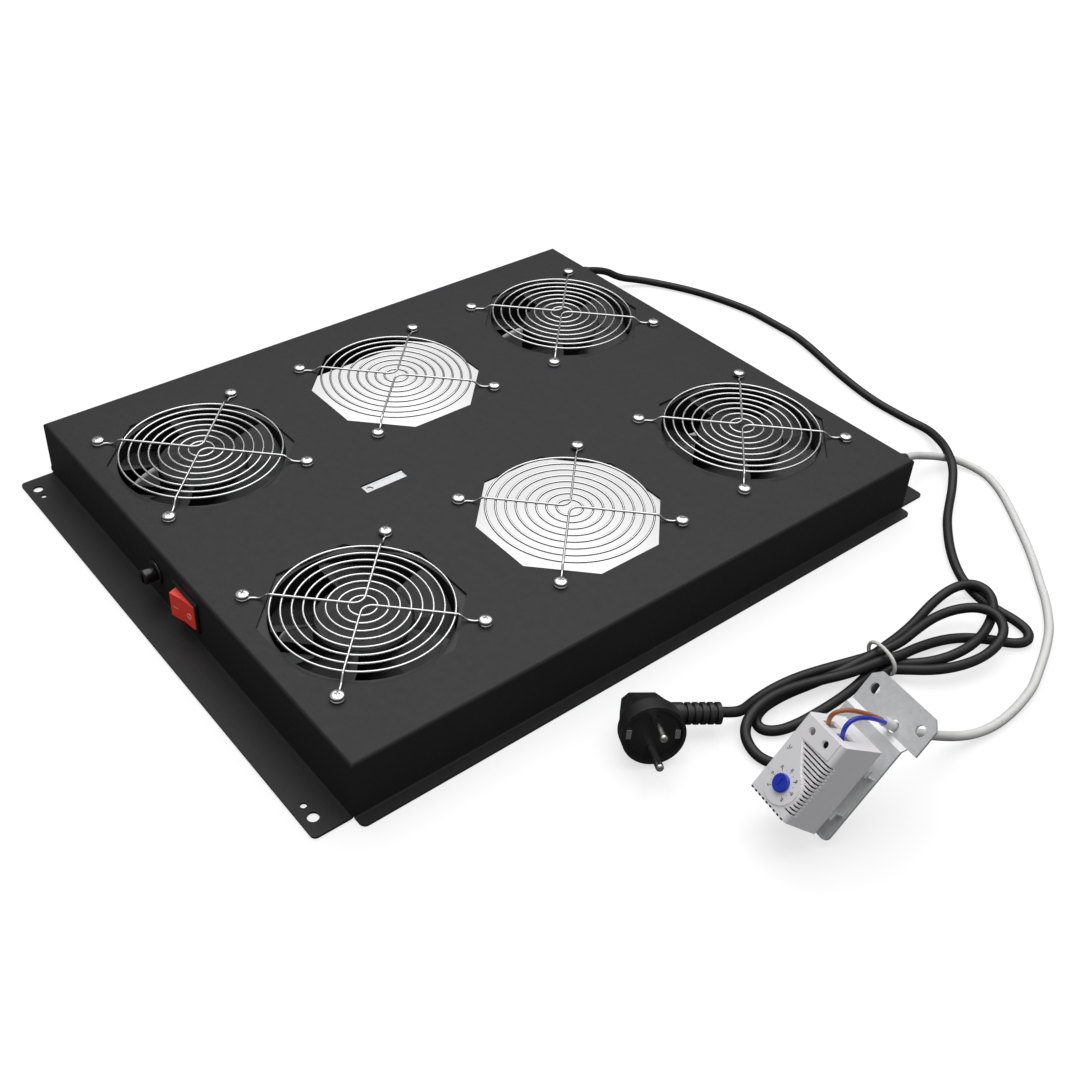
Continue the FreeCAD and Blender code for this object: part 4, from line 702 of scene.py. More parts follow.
def scatter(
    name: str, points: Iterable[Vector], master: bpy.types.Object, finish: Finish, turn: float = 0.0, seed: int = 1
) -> bpy.types.Object:
    """Repeat a master piece at points by Geometry Nodes.

    Args:
        name: the new piece's name.
        points: where the copies go.
        master: the piece to repeat, which is removed.
        finish: the copies' finish.
        turn: the largest random turn about Z, in radians.
        seed: the seed of those turns.

    Returns:
        One plain mesh of all the copies.
    """
    pattern = Pattern(name)
    shape = pattern.node("GeometryNodeObjectInfo", {}, {"Object": pattern.given("Master", "Object", master)})
    most = pattern.given("Largest turn", "Float", turn)
    seeded = pattern.given("Seed", "Int", seed)
    spin = pattern.node("FunctionNodeRandomValue", {"data_type": "FLOAT"}, {"Min": 0.0, "Seed": seeded})
    pattern.tree.links.new(most, next(s for s in spin.inputs if s.name == "Max" and s.type == "VALUE"))
    result = next(s for s in spin.outputs if s.type == "VALUE")
    about = pattern.node("ShaderNodeCombineXYZ", {}, {"Z": result})
    copies = pattern.copies(pattern.source, shape.outputs["Geometry"], Rotation=about.outputs[0])
    pattern.finish(copies.outputs[0], finish)
    made = pattern.run(points_object(name + "_points", points), name)
    bpy.data.objects.remove(master)
    return made


# --- studio


@dataclass
class Studio:
    """Camera, lights, world and floor."""

    camera_place: Point = (0.61532, -0.49201, 0.59653)
    camera_turn: Point = (52.8571, -1.5210, 52.1812)
    lens: float = 45.254
    shift: tuple[float, float] = (0.05383, -0.04533)
    key_power: float = 24.0
    fill_power: float = 0.8
    room: tuple[tuple[float, float], ...] = ((0.0, 0.05), (0.25, 0.10), (0.6, 0.45), (1.0, 0.62))
    floor_seen: Colour = (0.90, 0.90, 0.91)
    floor_lit: Colour = (0.10, 0.10, 0.10)
    floor_glow: float = 1.75
    open_glow: Colour = (0.76, 0.76, 0.76)
    # A brighter glow on the floor seen through the empty middle bays: painted light where the tray shades the
    # floor.
    painted_bay_light: Colour = (0.94, 0.94, 0.94)
    fans_at: tuple[float, float] = (0.100, 0.164)
    bay_shift: tuple[float, float] = (-0.041, 0.039)
    # The share of the floor's glow kept under each fan: a painted shadow beneath the fans.
    glow_in_painted_fan_shadow: float = 0.04

    def make(self) -> None:
        """Build the whole studio."""
        self.camera()
        self.lamp("key", (-0.35, 0.45, 1.7), (2.2, 2.2), self.key_power)
        self.lamp("fill", (1.6, -1.5, 1.2), (1.4, 1.4), self.fill_power)
        self.world()
        self.floor()

    def camera(self) -> None:
        """Set the camera."""
        data = bpy.data.cameras.new("camera")
        data.lens = self.lens
        data.sensor_width = 36.0
        data.shift_x, data.shift_y = self.shift
        data.clip_start, data.clip_end = 0.01, 50.0
        camera = link(bpy.data.objects.new("camera", data))
        camera.location = self.camera_place
        camera.rotation_euler = Euler([math.radians(a) for a in self.camera_turn], "XYZ")
        bpy.context.scene.camera = camera

    def lamp(self, name: str, place: Point, size: tuple[float, float], power: float) -> None:
        """Add a soft rectangular lamp that faces the middle of the tray."""
        data = bpy.data.lights.new(name, "AREA")
        data.shape = "RECTANGLE"
        data.size, data.size_y = size
        data.energy = power
        lamp = link(bpy.data.objects.new(name, data))
        lamp.location = place
        lamp.rotation_euler = (Vector((0.05, 0.0, 0.0)) - Vector(place)).to_track_quat("-Z", "Y").to_euler()

    def seen(self, graph: Graph) -> Signal:
        """1 on rays from the camera or through a clear piece, else 0."""
        path = graph.node("ShaderNodeLightPath")
        camera, clear = (Signal(graph, path.outputs[kind]) for kind in ("Is Camera Ray", "Is Transmission Ray"))
        return (camera + clear).clamped()

    def world(self) -> None:
        """A white surround to look at, and a room to light by that is dim at the horizon and pale overhead."""
        world = bpy.data.worlds.new("surround")
        bpy.context.scene.world = world
        world.use_nodes = True
        graph = Graph(world.node_tree, "ShaderNodeOutputWorld")
        toward = graph.node("ShaderNodeTexCoord").outputs["Generated"]
        height = Signal(graph, graph.node("ShaderNodeSeparateXYZ", {}, {0: toward}).outputs[2])
        room = graph.ramp(height, self.room)
        shown = self.seen(graph)
        level = shown + (1.0 - shown) * room
        light = graph.node("ShaderNodeBackground", {}, {"Color": (1.0, 1.0, 1.0), "Strength": level})
        graph.feed(graph.output.inputs["Surface"], light.outputs[0])

    def floor(self) -> None:
        """A pale floor that is white away from the tray and keeps its shadow, with a painted shadow under each fan
        and painted light where the empty middle bays show the floor.
        """
        bm = bmesh.new()
        bmesh.ops.create_grid(bm, x_segments=1, y_segments=1, size=5.0, matrix=Matrix.Translation((0, 0, -0.0004)))
        floor = mesh_object("floor", bm)
        material = bpy.data.materials.new("floor")
        material.use_nodes = True
        graph = Graph(material.node_tree)
        shown = self.seen(graph)
        colour = graph.blend(shown, self.floor_lit, self.floor_seen)
        matt = graph.node("ShaderNodeBsdfDiffuse", {}, {"Color": colour})
        place = graph.node("ShaderNodeSeparateXYZ", {}, {0: graph.place()})
        x, y = Signal(graph, place.outputs[0]), Signal(graph, place.outputs[1])
        across, along = abs(x) - self.fans_at[0], abs(y) - self.fans_at[1]
        from_fan = (across * across + along * along) ** 0.5
        aside, ahead = abs(x - self.bay_shift[0]) - self.fans_at[0], y - self.bay_shift[1]
        from_bay = (aside * aside + ahead * ahead) ** 0.5
        # Painted shadow: the floor's glow nearly drops out under each fan.
        painted_fan_shadow_mask = graph.ramp(from_fan * 10.0, [(0.58, self.glow_in_painted_fan_shadow), (0.66, 1.0)])
        # Painted light: a brighter glow on the floor seen through the empty middle bays.
        bay = graph.ramp(from_bay * 10.0, [(0.78, 1.0), (0.92, 0.0)])
        tint = graph.blend(bay, self.open_glow, self.painted_bay_light)
        glow = graph.node("ShaderNodeEmission", {}, {"Color": tint, "Strength": self.floor_glow})
        share = shown * painted_fan_shadow_mask * 0.5
        mixed = graph.node("ShaderNodeMixShader", {}, {0: share, 1: matt.outputs[0], 2: glow.outputs[0]})
        graph.feed(graph.output.inputs["Surface"], mixed.outputs[0])
        floor.data.materials.append(material)


# --- cords


def in_metres(points: Iterable[Point]) -> list[Point]:
    """Points given in millimetres, in metres."""
    return [tuple(v * MM for v in p) for p in points]


def spline_curve(name: str, points: Sequence[Point], radius: float) -> bpy.types.Object:
    """A smooth round cord whose control points are given.

    Args:
        name: the object's name.
        points: the spline's control points, in metres.
        radius: half the cord's diameter.

    Returns:
        The curve object.
    """
    curve = bpy.data.curves.new(name, "CURVE")
    curve.dimensions = "3D"
    curve.bevel_depth = radius
    curve.bevel_resolution = 4
    curve.resolution_u = 8
    curve.use_fill_caps = True
    spline = curve.splines.new("NURBS")
    spline.points.add(len(points) - 1)
    for slot, point in zip(spline.points, points):
        slot.co = (*point, 1.0)
    spline.order_u = 3
    spline.use_endpoint_u = True
    spline.use_smooth = True
    return link(bpy.data.objects.new(name, curve))


# The control points of the two cords, in millimetres, each from the wall to the far end.
MAINS_POINTS: tuple[Point, ...] = (
    (-176, 262, 23), (-175.8, 281, 18.2), (-168.7, 294.4, 9), (-161.7, 312.3, 4.6), (-148.6, 324, 3.3),
    (-133.2, 333.3, 3.2), (-116.8, 341.5, 3.2), (-99.1, 348, 3.2), (-80.5, 353.2, 3.2), (-62.1, 357, 3.2),
    (-46.5, 357, 3.2), (-31.1, 357, 3.2), (-12.1, 357, 3.2), (4.6, 353.5, 3.2), (24.3, 348, 3.2),
    (44.3, 341.7, 3.2), (65, 336.5, 3.2), (81.9, 333, 3.2), (99.3, 330.8, 3.2), (112.9, 330.7, 3.2),
    (132.8, 331.2, 3.3), (149.6, 330.4, 5.2), (169, 318.8, 9.6), (180.2, 310.2, 11.6), (195.3, 297.7, 11.4),
    (206.6, 283.7, 5.2), (213.3, 273, 3.5), (219.2, 263.2, 3.2), (225.4, 253.4, 3.2), (231.9, 244.4, 3.2),
    (245.6, 228.2, 3.2), (259.4, 214.8, 3.2), (274.4, 203.9, 3.2), (290.3, 197.5, 3.2), (306.2, 196.5, 3.2),
    (321.1, 198.1, 3.2), (332.6, 195.7, 3.2), (337.6, 187.2, 3.2), (333.6, 178.2, 3.2), (323.2, 170.2, 3.2),
    (311.3, 158.2, 3.2), (303.8, 142.2, 4.2), (300.5, 120.1, 7.2), (300.2, 102.5, 9.8), (296.7, 92, 10.2),
    (292.2, 66.8, 9.9), (284.3, 45.2, 9.7), (278.8, 27.3, 9.7), (276.3, 11.5, 9.7), (277.4, -3.3, 9.7),
    (280.7, -14.2, 8.5), (285.5, -20.8, 5.5), (293.7, -24.4, 3.4), (303.6, -25.4, 3.2), (313.1, -20.4, 3.2),
    (320.1, -9.8, 3.2), (323, 5.2, 3.2), (320, 25.3, 3.2), (312.5, 49.2, 3.2), (304.5, 72.2, 3.6),
    (299.8, 91.3, 4.6), (310, 98.3, 8.2), (321.2, 111.3, 9), (328.8, 127.6, 9.5), (332.3, 145.2, 9.7),
    (331.4, 161.6, 11), (327, 172.9, 14), (316.9, 178.3, 16.4), (304.5, 176.1, 15), (294.8, 165.7, 11.5),
    (290.6, 149.7, 9.9), (291.1, 131.1, 9.9), (293.1, 111.1, 10.1), (290.3, 93.4, 10.2), (287, 77.2, 7.6),
    (283.8, 61.2, 4.6), (280.2, 45.1, 3.4), (277.2, 30.1, 3.2), (275.8, 16.1, 3.2), (276.2, 3.1, 3.2),
    (280.7, -6.9, 3.2), (288.6, -8.4, 3.2), (294.8, -0.4, 3.2), (297.6, 13.2, 3.2), (298.5, 28.2, 3.2),
    (298.9, 44.2, 3.2), (298.3, 60.2, 3.2), (296.5, 76.2, 3.7), (293.5, 92.7, 4.6), (302.6, 102.8, 4.6),
    (311.8, 114.5, 6), (318.8, 128.9, 8.3), (321.5, 146.2, 9.7), (319, 163.9, 9.7), (313.5, 179.7, 9.7),
    (305.6, 192.9, 9.7), (295.8, 200.7, 9.7), (285.4, 199.3, 9.7), (279.8, 188, 9.2), (278, 175.3, 6.5),
    (279.4, 158.9, 4.2), (283, 140.8, 3.5), (285, 123.8, 3.5), (285.9, 108.3, 4), (287.1, 94.1, 4.6),
    (281.1, 77.1, 3.5), (275.6, 60.1, 3.2), (271.4, 44.1, 3.2), (269.1, 29.1, 3.2), (268.5, 15, 3.3), (270.1, 2, 5),
    (273, -8.5, 8.2), (273.3, -17.3, 11.1), (268.4, -24.6, 12),
)
SENSOR_POINTS: tuple[Point, ...] = (
    (176, 262, 23), (176.2, 272, 20.5), (175.6, 283, 15.5), (179, 301.5, 9.2), (187.9, 316.6, 4.3),
    (207.5, 320.9, 2.9), (221.2, 315.9, 2.9), (233.7, 308.5, 2.9), (248.1, 297.7, 2.9), (261.5, 286.7, 2.9),
    (274.6, 276, 2.9), (286.1, 265.9, 2.9), (296.4, 256.2, 2.9), (308.2, 244.1, 2.9), (320.7, 232.2, 2.9),
    (336.9, 212.2, 2.9), (343.4, 200.7, 2.9), (349.3, 188.8, 2.9), (354.6, 176.6, 2.9), (359.6, 164.4, 2.9),
    (364.3, 152.1, 2.9), (368.6, 127.2, 2.9), (369, 104.9, 2.9), (365.5, 86.4, 5), (360.2, 66.3, 12.5),
    (361.2, 17.9, 48.2), (358.6, 9.8, 55.2), (355.7, 0.9, 63),
)


@dataclass
class Cords:
    """The mains cord with its tied hank, the sensor cord, and the nylon tie."""

    mains_diameter: float = 6.5 * MM
    sensor_diameter: float = 5.8 * MM
    mains_length: float = 1.78
    sensor_length: float = 0.486
    tie_place: Point = (0.2944, 0.0925, 0.0092)
    tie_turn: float = -12.0
    tie_half: tuple[float, float] = (12.3 * MM, 7.9 * MM)
    tie_wire: float = 1.25 * MM
    tie_fullness: float = 0.9
    mains: bpy.types.Object | None = None
    sensor: bpy.types.Object | None = None
    band: bpy.types.Object | None = None

    def make(self) -> None:
        """Build both cords and the tie."""
        self.mains = spline_curve("mains_lead", in_metres(MAINS_POINTS), self.mains_diameter / 2)
        dress(self.mains, BLACK_CORD, Body.TRAY, ("mains_cord", "mains_cord_hank", "mains_cord_tail"))
        self.sensor = spline_curve("sensor_lead", in_metres(SENSOR_POINTS), self.sensor_diameter / 2)
        dress(self.sensor, WHITE_CORD, Body.TRAY, ("sensor_cord",))
        self.band = self.tie()

    def tie(self) -> bpy.types.Object:
        """The nylon band round the hank's neck."""
        place = Matrix.Translation(self.tie_place) @ Matrix.Rotation(math.radians(self.tie_turn), 4, "Z")
        wide, high = self.tie_half
        loop = []
        for k in range(48):
            angle = 2 * math.pi * k / 48
            c, s = math.cos(angle), math.sin(angle)
            x = wide * math.copysign(abs(c) ** self.tie_fullness, c)
            z = high * math.copysign(abs(s) ** self.tie_fullness, s)
            loop.append(place @ Vector((x, 0, z)))
        bm = bmesh.new()
        sweep(bm, loop, self.tie_wire, 10, closed=True)
        band = mesh_object("cord_band", bm)
        return dress(soften(band, 60.0), NYLON, Body.TRAY, ("cord_tie",))


# --- pieces


@dataclass
class Chassis:
    """The folded pan with what is seen through its slot."""

    def make(self) -> None:
        """Build the pan, bracket and terminal block."""
        restyle("tray_pan", "pan", POWDER)
        restyle("terminal_bracket", "slot_bracket", SHEET_ZINC, angle=40.0)
        restyle("terminal_block", "slot_block", BLOCK_GREY, bevel=0.3 * MM)
        restyle("terminal_screws", "slot_screws", ZINC)


@dataclass
class Fans:
    """Four fans: die-cast frames, moulded rotors and their motor cores."""

    rotors: tuple[Body, ...] = (Body.ROTOR_1, Body.ROTOR_2, Body.ROTOR_3, Body.ROTOR_4)

    def make(self) -> None:
        """Build every fan."""
        for index, body in enumerate(self.rotors, start=1):
            frame, rotor = f"fan_frame_{index}", f"fan_rotor_{index}"
            restyle(frame, f"fan_casing_{index}", FRAME_BLACK, angle=35.0, bevel=0.5 * MM)
            restyle(rotor, f"fan_impeller_{index}", FAN_BLACK, body, angle=40.0, bevel=0.35 * MM)
        restyle("fan_stators", "fan_cores", CORE_METAL, angle=40.0)


@dataclass
class Guards:
    """Ringed wire guards over all six bays, with their screws and nuts."""

    pitch: tuple[float, float] = (0.200, 0.164)
    rings: int = 8
    first_ring: float = 8.8 * MM
    ring_step: float = 6.75 * MM
    wire: float = 1.6 * MM
    ring_height: float = 47.8 * MM
    cross_height: float = 49.1 * MM
    foot_height: float = 44.8 * MM
    apex: float = 7.0 * MM
    lug: float = 52.5 * MM
    seat: float = 45.6 * MM
    eye: float = 3.9 * MM
    shoulder: tuple[tuple[float, float], ...] = ((56.8, 0.0), (59.2, -0.5), (61.6, -2.7), (64.2, -4.3))

    def bays(self) -> list[Vector]:
        """The six bay centres, on the floor."""
        across, along = self.pitch
        return [Vector((x * across / 2, y * along, 0.0)) for x in (-1, 1) for y in (-1, 0, 1)]

    def make(self) -> None:
        """Build the guards, the screws and the nuts."""
        guards = self.guards()
        dress(guards, GUARD_CHROME, Body.TRAY, tuple(f"fan_guard_{i}" for i in range(1, 7)))
        screws = scatter("guard_fixings", self.lugs(), self.screw(), SCREW_CHROME, turn=math.pi, seed=7)
        soften(screws, 30.0)
        dress(screws, SCREW_CHROME, Body.TRAY, ("guard_screws",))
        restyle("guard_nuts", "guard_fixing_nuts", ZINC, bevel=0.2 * MM)

    def lugs(self) -> list[Vector]:
        """The tops of the 24 guard feet."""
        signs = (-1, 1)
        feet = [Vector((x * self.lug, y * self.lug, self.seat)) for x in signs for y in signs]
        return [c + foot for c in self.bays() for foot in feet]

    def leg(self, reach: float) -> list[tuple[float, float]]:
        """Distance from the centre and height along a leg, from the bend outwards."""
        level = [(away, self.cross_height) for away in (self.apex * 1.9, reach * 0.45, reach * 0.80)]
        bent = [(away * MM, self.cross_height + drop * MM) for away, drop in self.shoulder]
        return [*level, *bent, (reach - 5.2 * MM, self.foot_height)]

    def vee(self) -> list[Vector]:
        """A V wire: an eye round one screw, two legs and the bend by the centre, and an eye round the other."""
        reach = self.lug * math.sqrt(2)
        half = [Vector((-away / math.sqrt(2), away / math.sqrt(2), height)) for away, height in self.leg(reach)]
        lug = Vector((-self.lug, self.lug, self.foot_height))
        eye = [lug + heading(-45 + 300 * k / 14) * self.eye for k in range(1, 15)]
        upper = half + eye
        lower = [Vector((p.x, -p.y, p.z)) for p in reversed(upper)]
        middle = Vector((-self.apex * math.sqrt(2), 0, self.cross_height))
        bend = [middle + heading(15 * k) * self.apex for k in range(-3, 4)]
        return lower + bend + upper

    def guards(self) -> bpy.types.Object:
        """All six guards by Geometry Nodes: scaled unit rings and two V wires, given a round section."""
        curve = bpy.data.curves.new("vee", "CURVE")
        curve.dimensions = "3D"
        for flip in (1, -1):
            points = self.vee()
            spline = curve.splines.new("NURBS")
            spline.points.add(len(points) - 1)
            for slot, p in zip(spline.points, points):
                slot.co = (flip * p.x, flip * p.y, p.z, 1.0)
            spline.order_u = 3
            spline.use_endpoint_u = True
            spline.resolution_u = 4
        vees = link(bpy.data.objects.new("vee", curve))

        pattern = Pattern("wire_guards")
        count = pattern.given("Rings", "Int", self.rings)
        first = pattern.given("First ring radius", "Float", self.first_ring)
        step = pattern.given("Ring pitch", "Float", self.ring_step)
        height = pattern.given("Ring height", "Float", self.ring_height)
        wire = pattern.given("Wire radius", "Float", self.wire / 2)
        cross = pattern.given("V wires", "Object", vees)
        index = pattern.node("GeometryNodeInputIndex")
        lift = pattern.node("ShaderNodeCombineXYZ", {}, {"Z": height})
        line = pattern.node(
            "GeometryNodeMeshLine", {},
            {"Count": count, "Start Location": lift.outputs[0], "Offset": (0.0, 0.0, 0.0)},
        )
        radius = pattern.node(
            "ShaderNodeMath", {"operation": "MULTIPLY_ADD"}, {0: index.outputs[0], 1: step, 2: first}
        )
        circle = pattern.node("GeometryNodeCurvePrimitiveCircle", {}, {"Resolution": 96, "Radius": 1.0})
        size = pattern.node("ShaderNodeCombineXYZ", {}, {"X": radius.outputs[0], "Y": radius.outputs[0], "Z": 1.0})
        rings = pattern.copies(line, circle.outputs[0], Scale=size.outputs[0])
        shape = pattern.node("GeometryNodeObjectInfo", {}, {"Object": cross})
        joined = pattern.node("GeometryNodeJoinGeometry")
        loose = pattern.node("GeometryNodeRealizeInstances", {}, {0: rings.outputs[0]})
        pattern.tree.links.new(loose.outputs[0], joined.inputs[0])
        pattern.tree.links.new(shape.outputs["Geometry"], joined.inputs[0])
        section = pattern.node("GeometryNodeCurvePrimitiveCircle", {}, {"Resolution": 10, "Radius": wire})
        tubes = pattern.node(
            "GeometryNodeCurveToMesh", {},
            {"Curve": joined.outputs[0], "Profile Curve": section.outputs[0], "Fill Caps": True},
        )
        smooth = pattern.node("GeometryNodeSetShadeSmooth", {}, {0: tubes.outputs[0]})
        copies = pattern.copies(pattern.source, smooth.outputs[0])
        pattern.finish(copies.outputs[0], GUARD_CHROME)
        made = pattern.run(points_object("bays", self.bays()), "wire_guards")
        bpy.data.objects.remove(vees)
        return made

    def screw(self) -> bpy.types.Object:
        """A pan head screw with a cross recess, its seat at the origin."""
        profile = (
            (0, -9.0), (1.9, -9.0), (2.0, -8.7), (2.0, -1.7), (2.0, 0), (4.3, 0), (4.45, 0.2), (4.45, 1.5),
            (4.3, 1.95), (3.9, 2.3), (3.0, 2.62), (1.6, 2.8), (0, 2.86),
        )
        bm = bmesh.new()
        lathe(bm, [(radius * MM, height * MM) for radius, height in profile], Matrix.Identity(4), 36)
        head = mesh_object("screw", bm)
        cut = bmesh.new()
        for turn in (0, 90):
            place = Matrix.Rotation(math.radians(turn), 4, "Z")
            levels = ((0.7, 0.35, 1.0), (2.0, 0.6, 3.2))
            signs = ((-1, -1), (1, -1), (1, 1), (-1, 1))
            corners = [(x * long * MM, y * wide * MM, z * MM) for long, wide, z in levels for x, y in signs]
            v = [cut.verts.new(place @ Vector(p)) for p in corners]
            for face in ((3, 2, 1, 0), (4, 5, 6, 7), (0, 1, 5, 4), (1, 2, 6, 5), (2, 3, 7, 6), (3, 0, 4, 7)):
                cut.faces.new([v[i] for i in face])
        cutter = mesh_object("cross", cut)
        recess = head.modifiers.new("recess", "BOOLEAN")
        recess.object = cutter
        recess.operation = "DIFFERENCE"
        recess.solver = "EXACT"
        recess.use_self = True
        made = plain_mesh(head, "screw_master")
        bpy.data.objects.remove(cutter)
        return made


@dataclass
class FrontPanel:
    """The rocker switch and the fuse holder on the -Y wall, and the cords' strain reliefs on the +Y wall."""

    pivot: Point = (0.0125, -0.2320, 0.0228)
    tilt: float = 13.0
    reach: float = 10.8 * MM
    hollow: float = 0.8 * MM
    half: float = 11.0 * MM
    line_half: tuple[float, float] = (2.4 * MM, 0.24 * MM)
    line_depth: tuple[float, float] = (-0.12 * MM, 0.1 * MM)
    ring_half: tuple[float, float] = (2.0 * MM, 1.9 * MM)
    ring_wire: float = 0.35 * MM
    mark_drop: float = 0.8 * MM

    def make(self) -> None:
        """Build the panel's pieces."""
        restyle("switch_housing", "switch_body", SWITCH_BLACK, bevel=0.25 * MM)
        restyle("switch_rocker", "switch_key", ROCKER_RED_PAINTED_GLOW, Body.ROCKER, bevel=0.5 * MM, segments=3)
        restyle("switch_tabs", "switch_blades", TIN_BRASS)
        self.marks()
        restyle("fuse_holder", "fuse_barrel", GLOSS_BLACK, bevel=0.35 * MM)
        restyle("fuse_holder_nut", "fuse_ring_nut", GLOSS_BLACK, bevel=0.3 * MM)
        restyle("fuse_holder_tabs", "fuse_blades", TIN_BRASS)
        restyle("fuse_cap", "fuse_knob_cap", GLOSS_BLACK, Body.FUSE_KNOB, bevel=0.3 * MM)
        restyle("fuse_carrier", "fuse_cradle", GLOSS_BLACK, Body.FUSE_CARRIER, bevel=0.2 * MM)
        restyle("glass_fuse", "fuse_tube", FUSE_GLASS, Body.FUSE_CARRIER)
        for node, name in (("mains_cord_gland", "mains_relief"), ("sensor_cord_gland", "sensor_relief")):
            restyle(node, name, PLUG_BLACK, angle=40.0, bevel=0.3 * MM)

    def marks(self) -> None:
        """The line and ring moulded into the rocker's two faces."""
        lean = math.atan2(self.hollow, self.half)
        for name, side in (("mark_line", -1), ("mark_ring", 1)):
            middle = Vector((side * self.half * 0.58, self.hollow * 0.42 - self.reach, -self.mark_drop))
            face = (
                Matrix.Translation(self.pivot) @ Matrix.Rotation(math.radians(self.tilt), 4, "Z")
                @ Matrix.Translation(middle) @ Matrix.Rotation(-side * lean, 4, "Z")
            )
            bm = bmesh.new()
            if side < 0:
                (long, thick), (front, back) = self.line_half, self.line_depth
                add_box(bm, (-long, front, -thick), (long, back, thick), face)
            else:
                wide, high = self.ring_half
                turn = [2 * math.pi * k / 40 for k in range(40)]
                ring = [face @ Vector((wide * math.cos(a), 0.0, high * math.sin(a))) for a in turn]
                sweep(bm, ring, self.ring_wire, 8, closed=True)
            mark = soften(mesh_object(name, bm), 40.0)
            dress(mark, MARK_WHITE, Body.ROCKER)


@dataclass
class Plug:
    """The moulded mains plug that lies on the floor."""

    made: list[bpy.types.Object] = field(default_factory=list)

    def make(self) -> None:
        """Build the plug's pieces."""
        self.made = [
            restyle("plug_body", "plug_shell", PLUG_BLACK, bevel=0.6 * MM, segments=3),
            restyle("plug_pins", "plug_prongs", NICKEL, angle=40.0, bevel=0.5 * MM),
            restyle("plug_earth_clips", "plug_contacts", NICKEL, bevel=0.15 * MM),
        ]


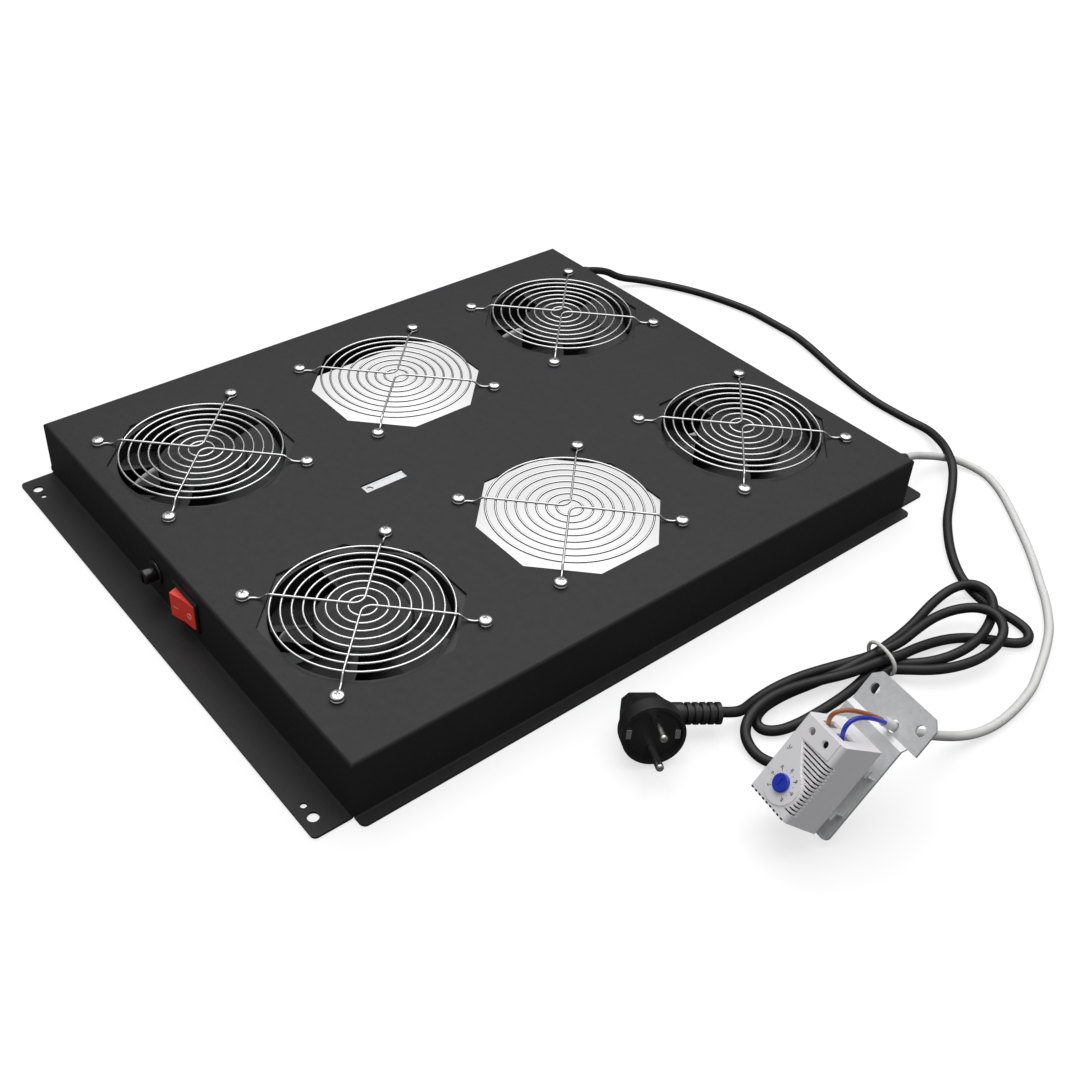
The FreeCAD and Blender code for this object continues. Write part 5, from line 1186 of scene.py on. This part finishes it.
@dataclass
class Thermostat:
    """The rail thermostat on its galvanised plate, with its dial and two wired cores."""

    place: Point = (0.3490, -0.0263, 0.0322)
    turn: Point = (50.1, -5.4, -13.6)
    dial: tuple[float, float] = (0.5 * MM, -15.0 * MM)
    face: float = 29.85 * MM
    scale_start: float = 225.0
    scale_sweep: float = 270.0
    tick_reach: float = 7.4 * MM
    number_reach: float = 8.9 * MM
    number_size: float = 2.0 * MM
    unit_offset: tuple[float, float] = (-10.3 * MM, 16.5 * MM)
    unit_size: float = 2.8 * MM
    slot_pitch: float = 3.3 * MM
    terminal_pitch: float = 5.6 * MM
    core: float = 2.6 * MM
    sheath_end: Point = (3.0 * MM, 41.5 * MM, -1.8 * MM)
    terminal: tuple[float, float] = (18.8 * MM, 16.0 * MM)
    arches: dict[str, float] = field(default_factory=lambda: {"brown": 11.5 * MM, "blue": 9.5 * MM})
    cores: dict[str, Finish] = field(default_factory=lambda: {"brown": CORE_BROWN, "blue": CORE_BLUE})

    def frame(self) -> Matrix:
        """The case's own frame: Z out of its face, Y towards the cable."""
        roll, pitch, yaw = (math.radians(a) for a in self.turn)
        turned = Matrix.Rotation(yaw, 4, "Z") @ Matrix.Rotation(pitch, 4, "Y") @ Matrix.Rotation(roll, 4, "X")
        return Matrix.Translation(self.place) @ turned

    def make(self) -> None:
        """Build the thermostat's pieces."""
        restyle("thermostat_base", "case_base", CASE_GREY_PAINTED_GLOW, angle=35.0, bevel=0.3 * MM)
        restyle("thermostat_cover", "case_cover", CASE_GREY_PAINTED_GLOW, angle=35.0, bevel=0.25 * MM)
        restyle("thermostat_core", "case_core", SWITCH_BLACK, angle=35.0)
        restyle("thermostat_rail_clip", "case_clip", CASE_GREY_PAINTED_GLOW, angle=35.0, bevel=0.2 * MM)
        restyle("thermostat_terminal_screws", "case_screws", DULL_STEEL, angle=35.0, bevel=0.15 * MM)
        restyle("thermostat_dial", "case_dial", DIAL_BLUE, Body.DIAL, angle=35.0, bevel=0.25 * MM, segments=3)
        restyle("din_rail", "case_rail", SHEET_ZINC, angle=35.0)
        restyle("din_rail_rivets", "case_rivets", ZINC, angle=35.0)
        restyle("thermostat_bracket", "case_plate", SHEET_ZINC, angle=35.0)
        self.scale_marks()
        self.edge_slots()
        self.wires()

    def around(self, share: float, reach: float) -> tuple[float, Point]:
        """The angle and the place on the face at a share of the dial's scale."""
        angle = math.radians(self.scale_start - self.scale_sweep * share)
        x0, y0 = self.dial
        return angle, (x0 + reach * math.cos(angle), y0 + reach * math.sin(angle), self.face)

    def scale_marks(self) -> None:
        """Generic numerals and ticks round the dial."""
        frame = self.frame()
        bm = bmesh.new()
        for k in range(13):
            angle, at = self.around(k / 12, self.tick_reach)
            place = frame @ Matrix.Translation(at) @ Matrix.Rotation(angle, 4, "Z")
            long = 0.55 * MM if k % 2 == 0 else 0.3 * MM
            add_box(bm, (-long, -0.14 * MM, -0.02 * MM), (long, 0.14 * MM, 0.04 * MM), place)
        dress(mesh_object("dial_ticks", bm), MARK_GREY, Body.TRAY)
        for k in range(7):
            self.letter(f"dial_number_{k}", str(10 * k), self.around(k / 6, self.number_reach)[1], self.number_size)
        (x0, y0), (x, y) = self.dial, self.unit_offset
        self.letter("dial_unit", "°C", (x0 + x, y0 + y, self.face), self.unit_size)

    def edge_slots(self) -> None:
        """A row of small black boxes along the case's lower edge: painted shade that stands for the dark insides of
        its slots.
        """
        bm = bmesh.new()
        frame = self.frame()
        for k in range(9):
            x = (k - 4) * self.slot_pitch
            add_box(bm, (x - 0.75 * MM, -29.12 * MM, 28.2 * MM), (x + 0.75 * MM, -28.2 * MM, 29.25 * MM), frame)
        dress(mesh_object("edge_slots", bm), SWITCH_BLACK, Body.TRAY)

    def letter(self, name: str, text: str, at: Point, size: float) -> None:
        """A printed numeral on the face.

        Args:
            name: the piece's name.
            text: what it says.
            at: its middle, in the case's frame.
            size: the letters' size.
        """
        curve = bpy.data.curves.new(name, "FONT")
        curve.body = text
        curve.size = size
        curve.align_x, curve.align_y = "CENTER", "CENTER"
        curve.extrude = 0.03 * MM
        curve.offset = 0.05 * MM
        curve.resolution_u = 2
        letter = plain_mesh(link(bpy.data.objects.new(name, curve)), name)
        place = self.frame() @ Matrix.Translation(at) @ Matrix.Rotation(math.pi / 2, 4, "Z")
        letter.data.transform(place)
        dress(letter, MARK_GREY, Body.TRAY)

    def wires(self) -> None:
        """The two cores, arched from the sheath's end into the terminals."""
        hole = Vector(self.sheath_end)
        frame = self.frame()
        for side, colour in ((-1, "brown"), (1, "blue")):
            end = Vector((side * self.terminal_pitch, *self.terminal))
            start = hole + Vector((side * self.core * 0.55, 0, 0))
            rise = self.arches[colour]
            points = [
                start, start + Vector((0, 0, 9 * MM)),
                Vector(((start.x + end.x) / 2, hole.y - 5 * MM, end.z + rise - 1.0 * MM)),
                Vector((end.x, end.y + 7.5 * MM, end.z + rise)), end,
            ]
            wire = spline_curve(f"{colour}_core", [tuple(frame @ p) for p in points], self.core / 2)
            dress(wire, self.cores[colour], Body.TRAY, (f"{colour}_conductor",))


# --- main


def render_settings() -> None:
    """Plain colour management."""
    view = bpy.context.scene.view_settings
    view.view_transform = "Standard"
    view.look = "None"
    view.exposure = 0.0
    view.gamma = 1.0


def main() -> None:
    """Build the whole scene in order."""
    logging.basicConfig(level=logging.INFO, format="%(name)s: %(message)s")
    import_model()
    render_settings()
    Studio().make()
    cords = Cords()
    cords.make()
    Chassis().make()
    Fans().make()
    Guards().make()
    FrontPanel().make()
    plug = Plug()
    plug.make()
    Thermostat().make()


if __name__ == "__main__":
    main()
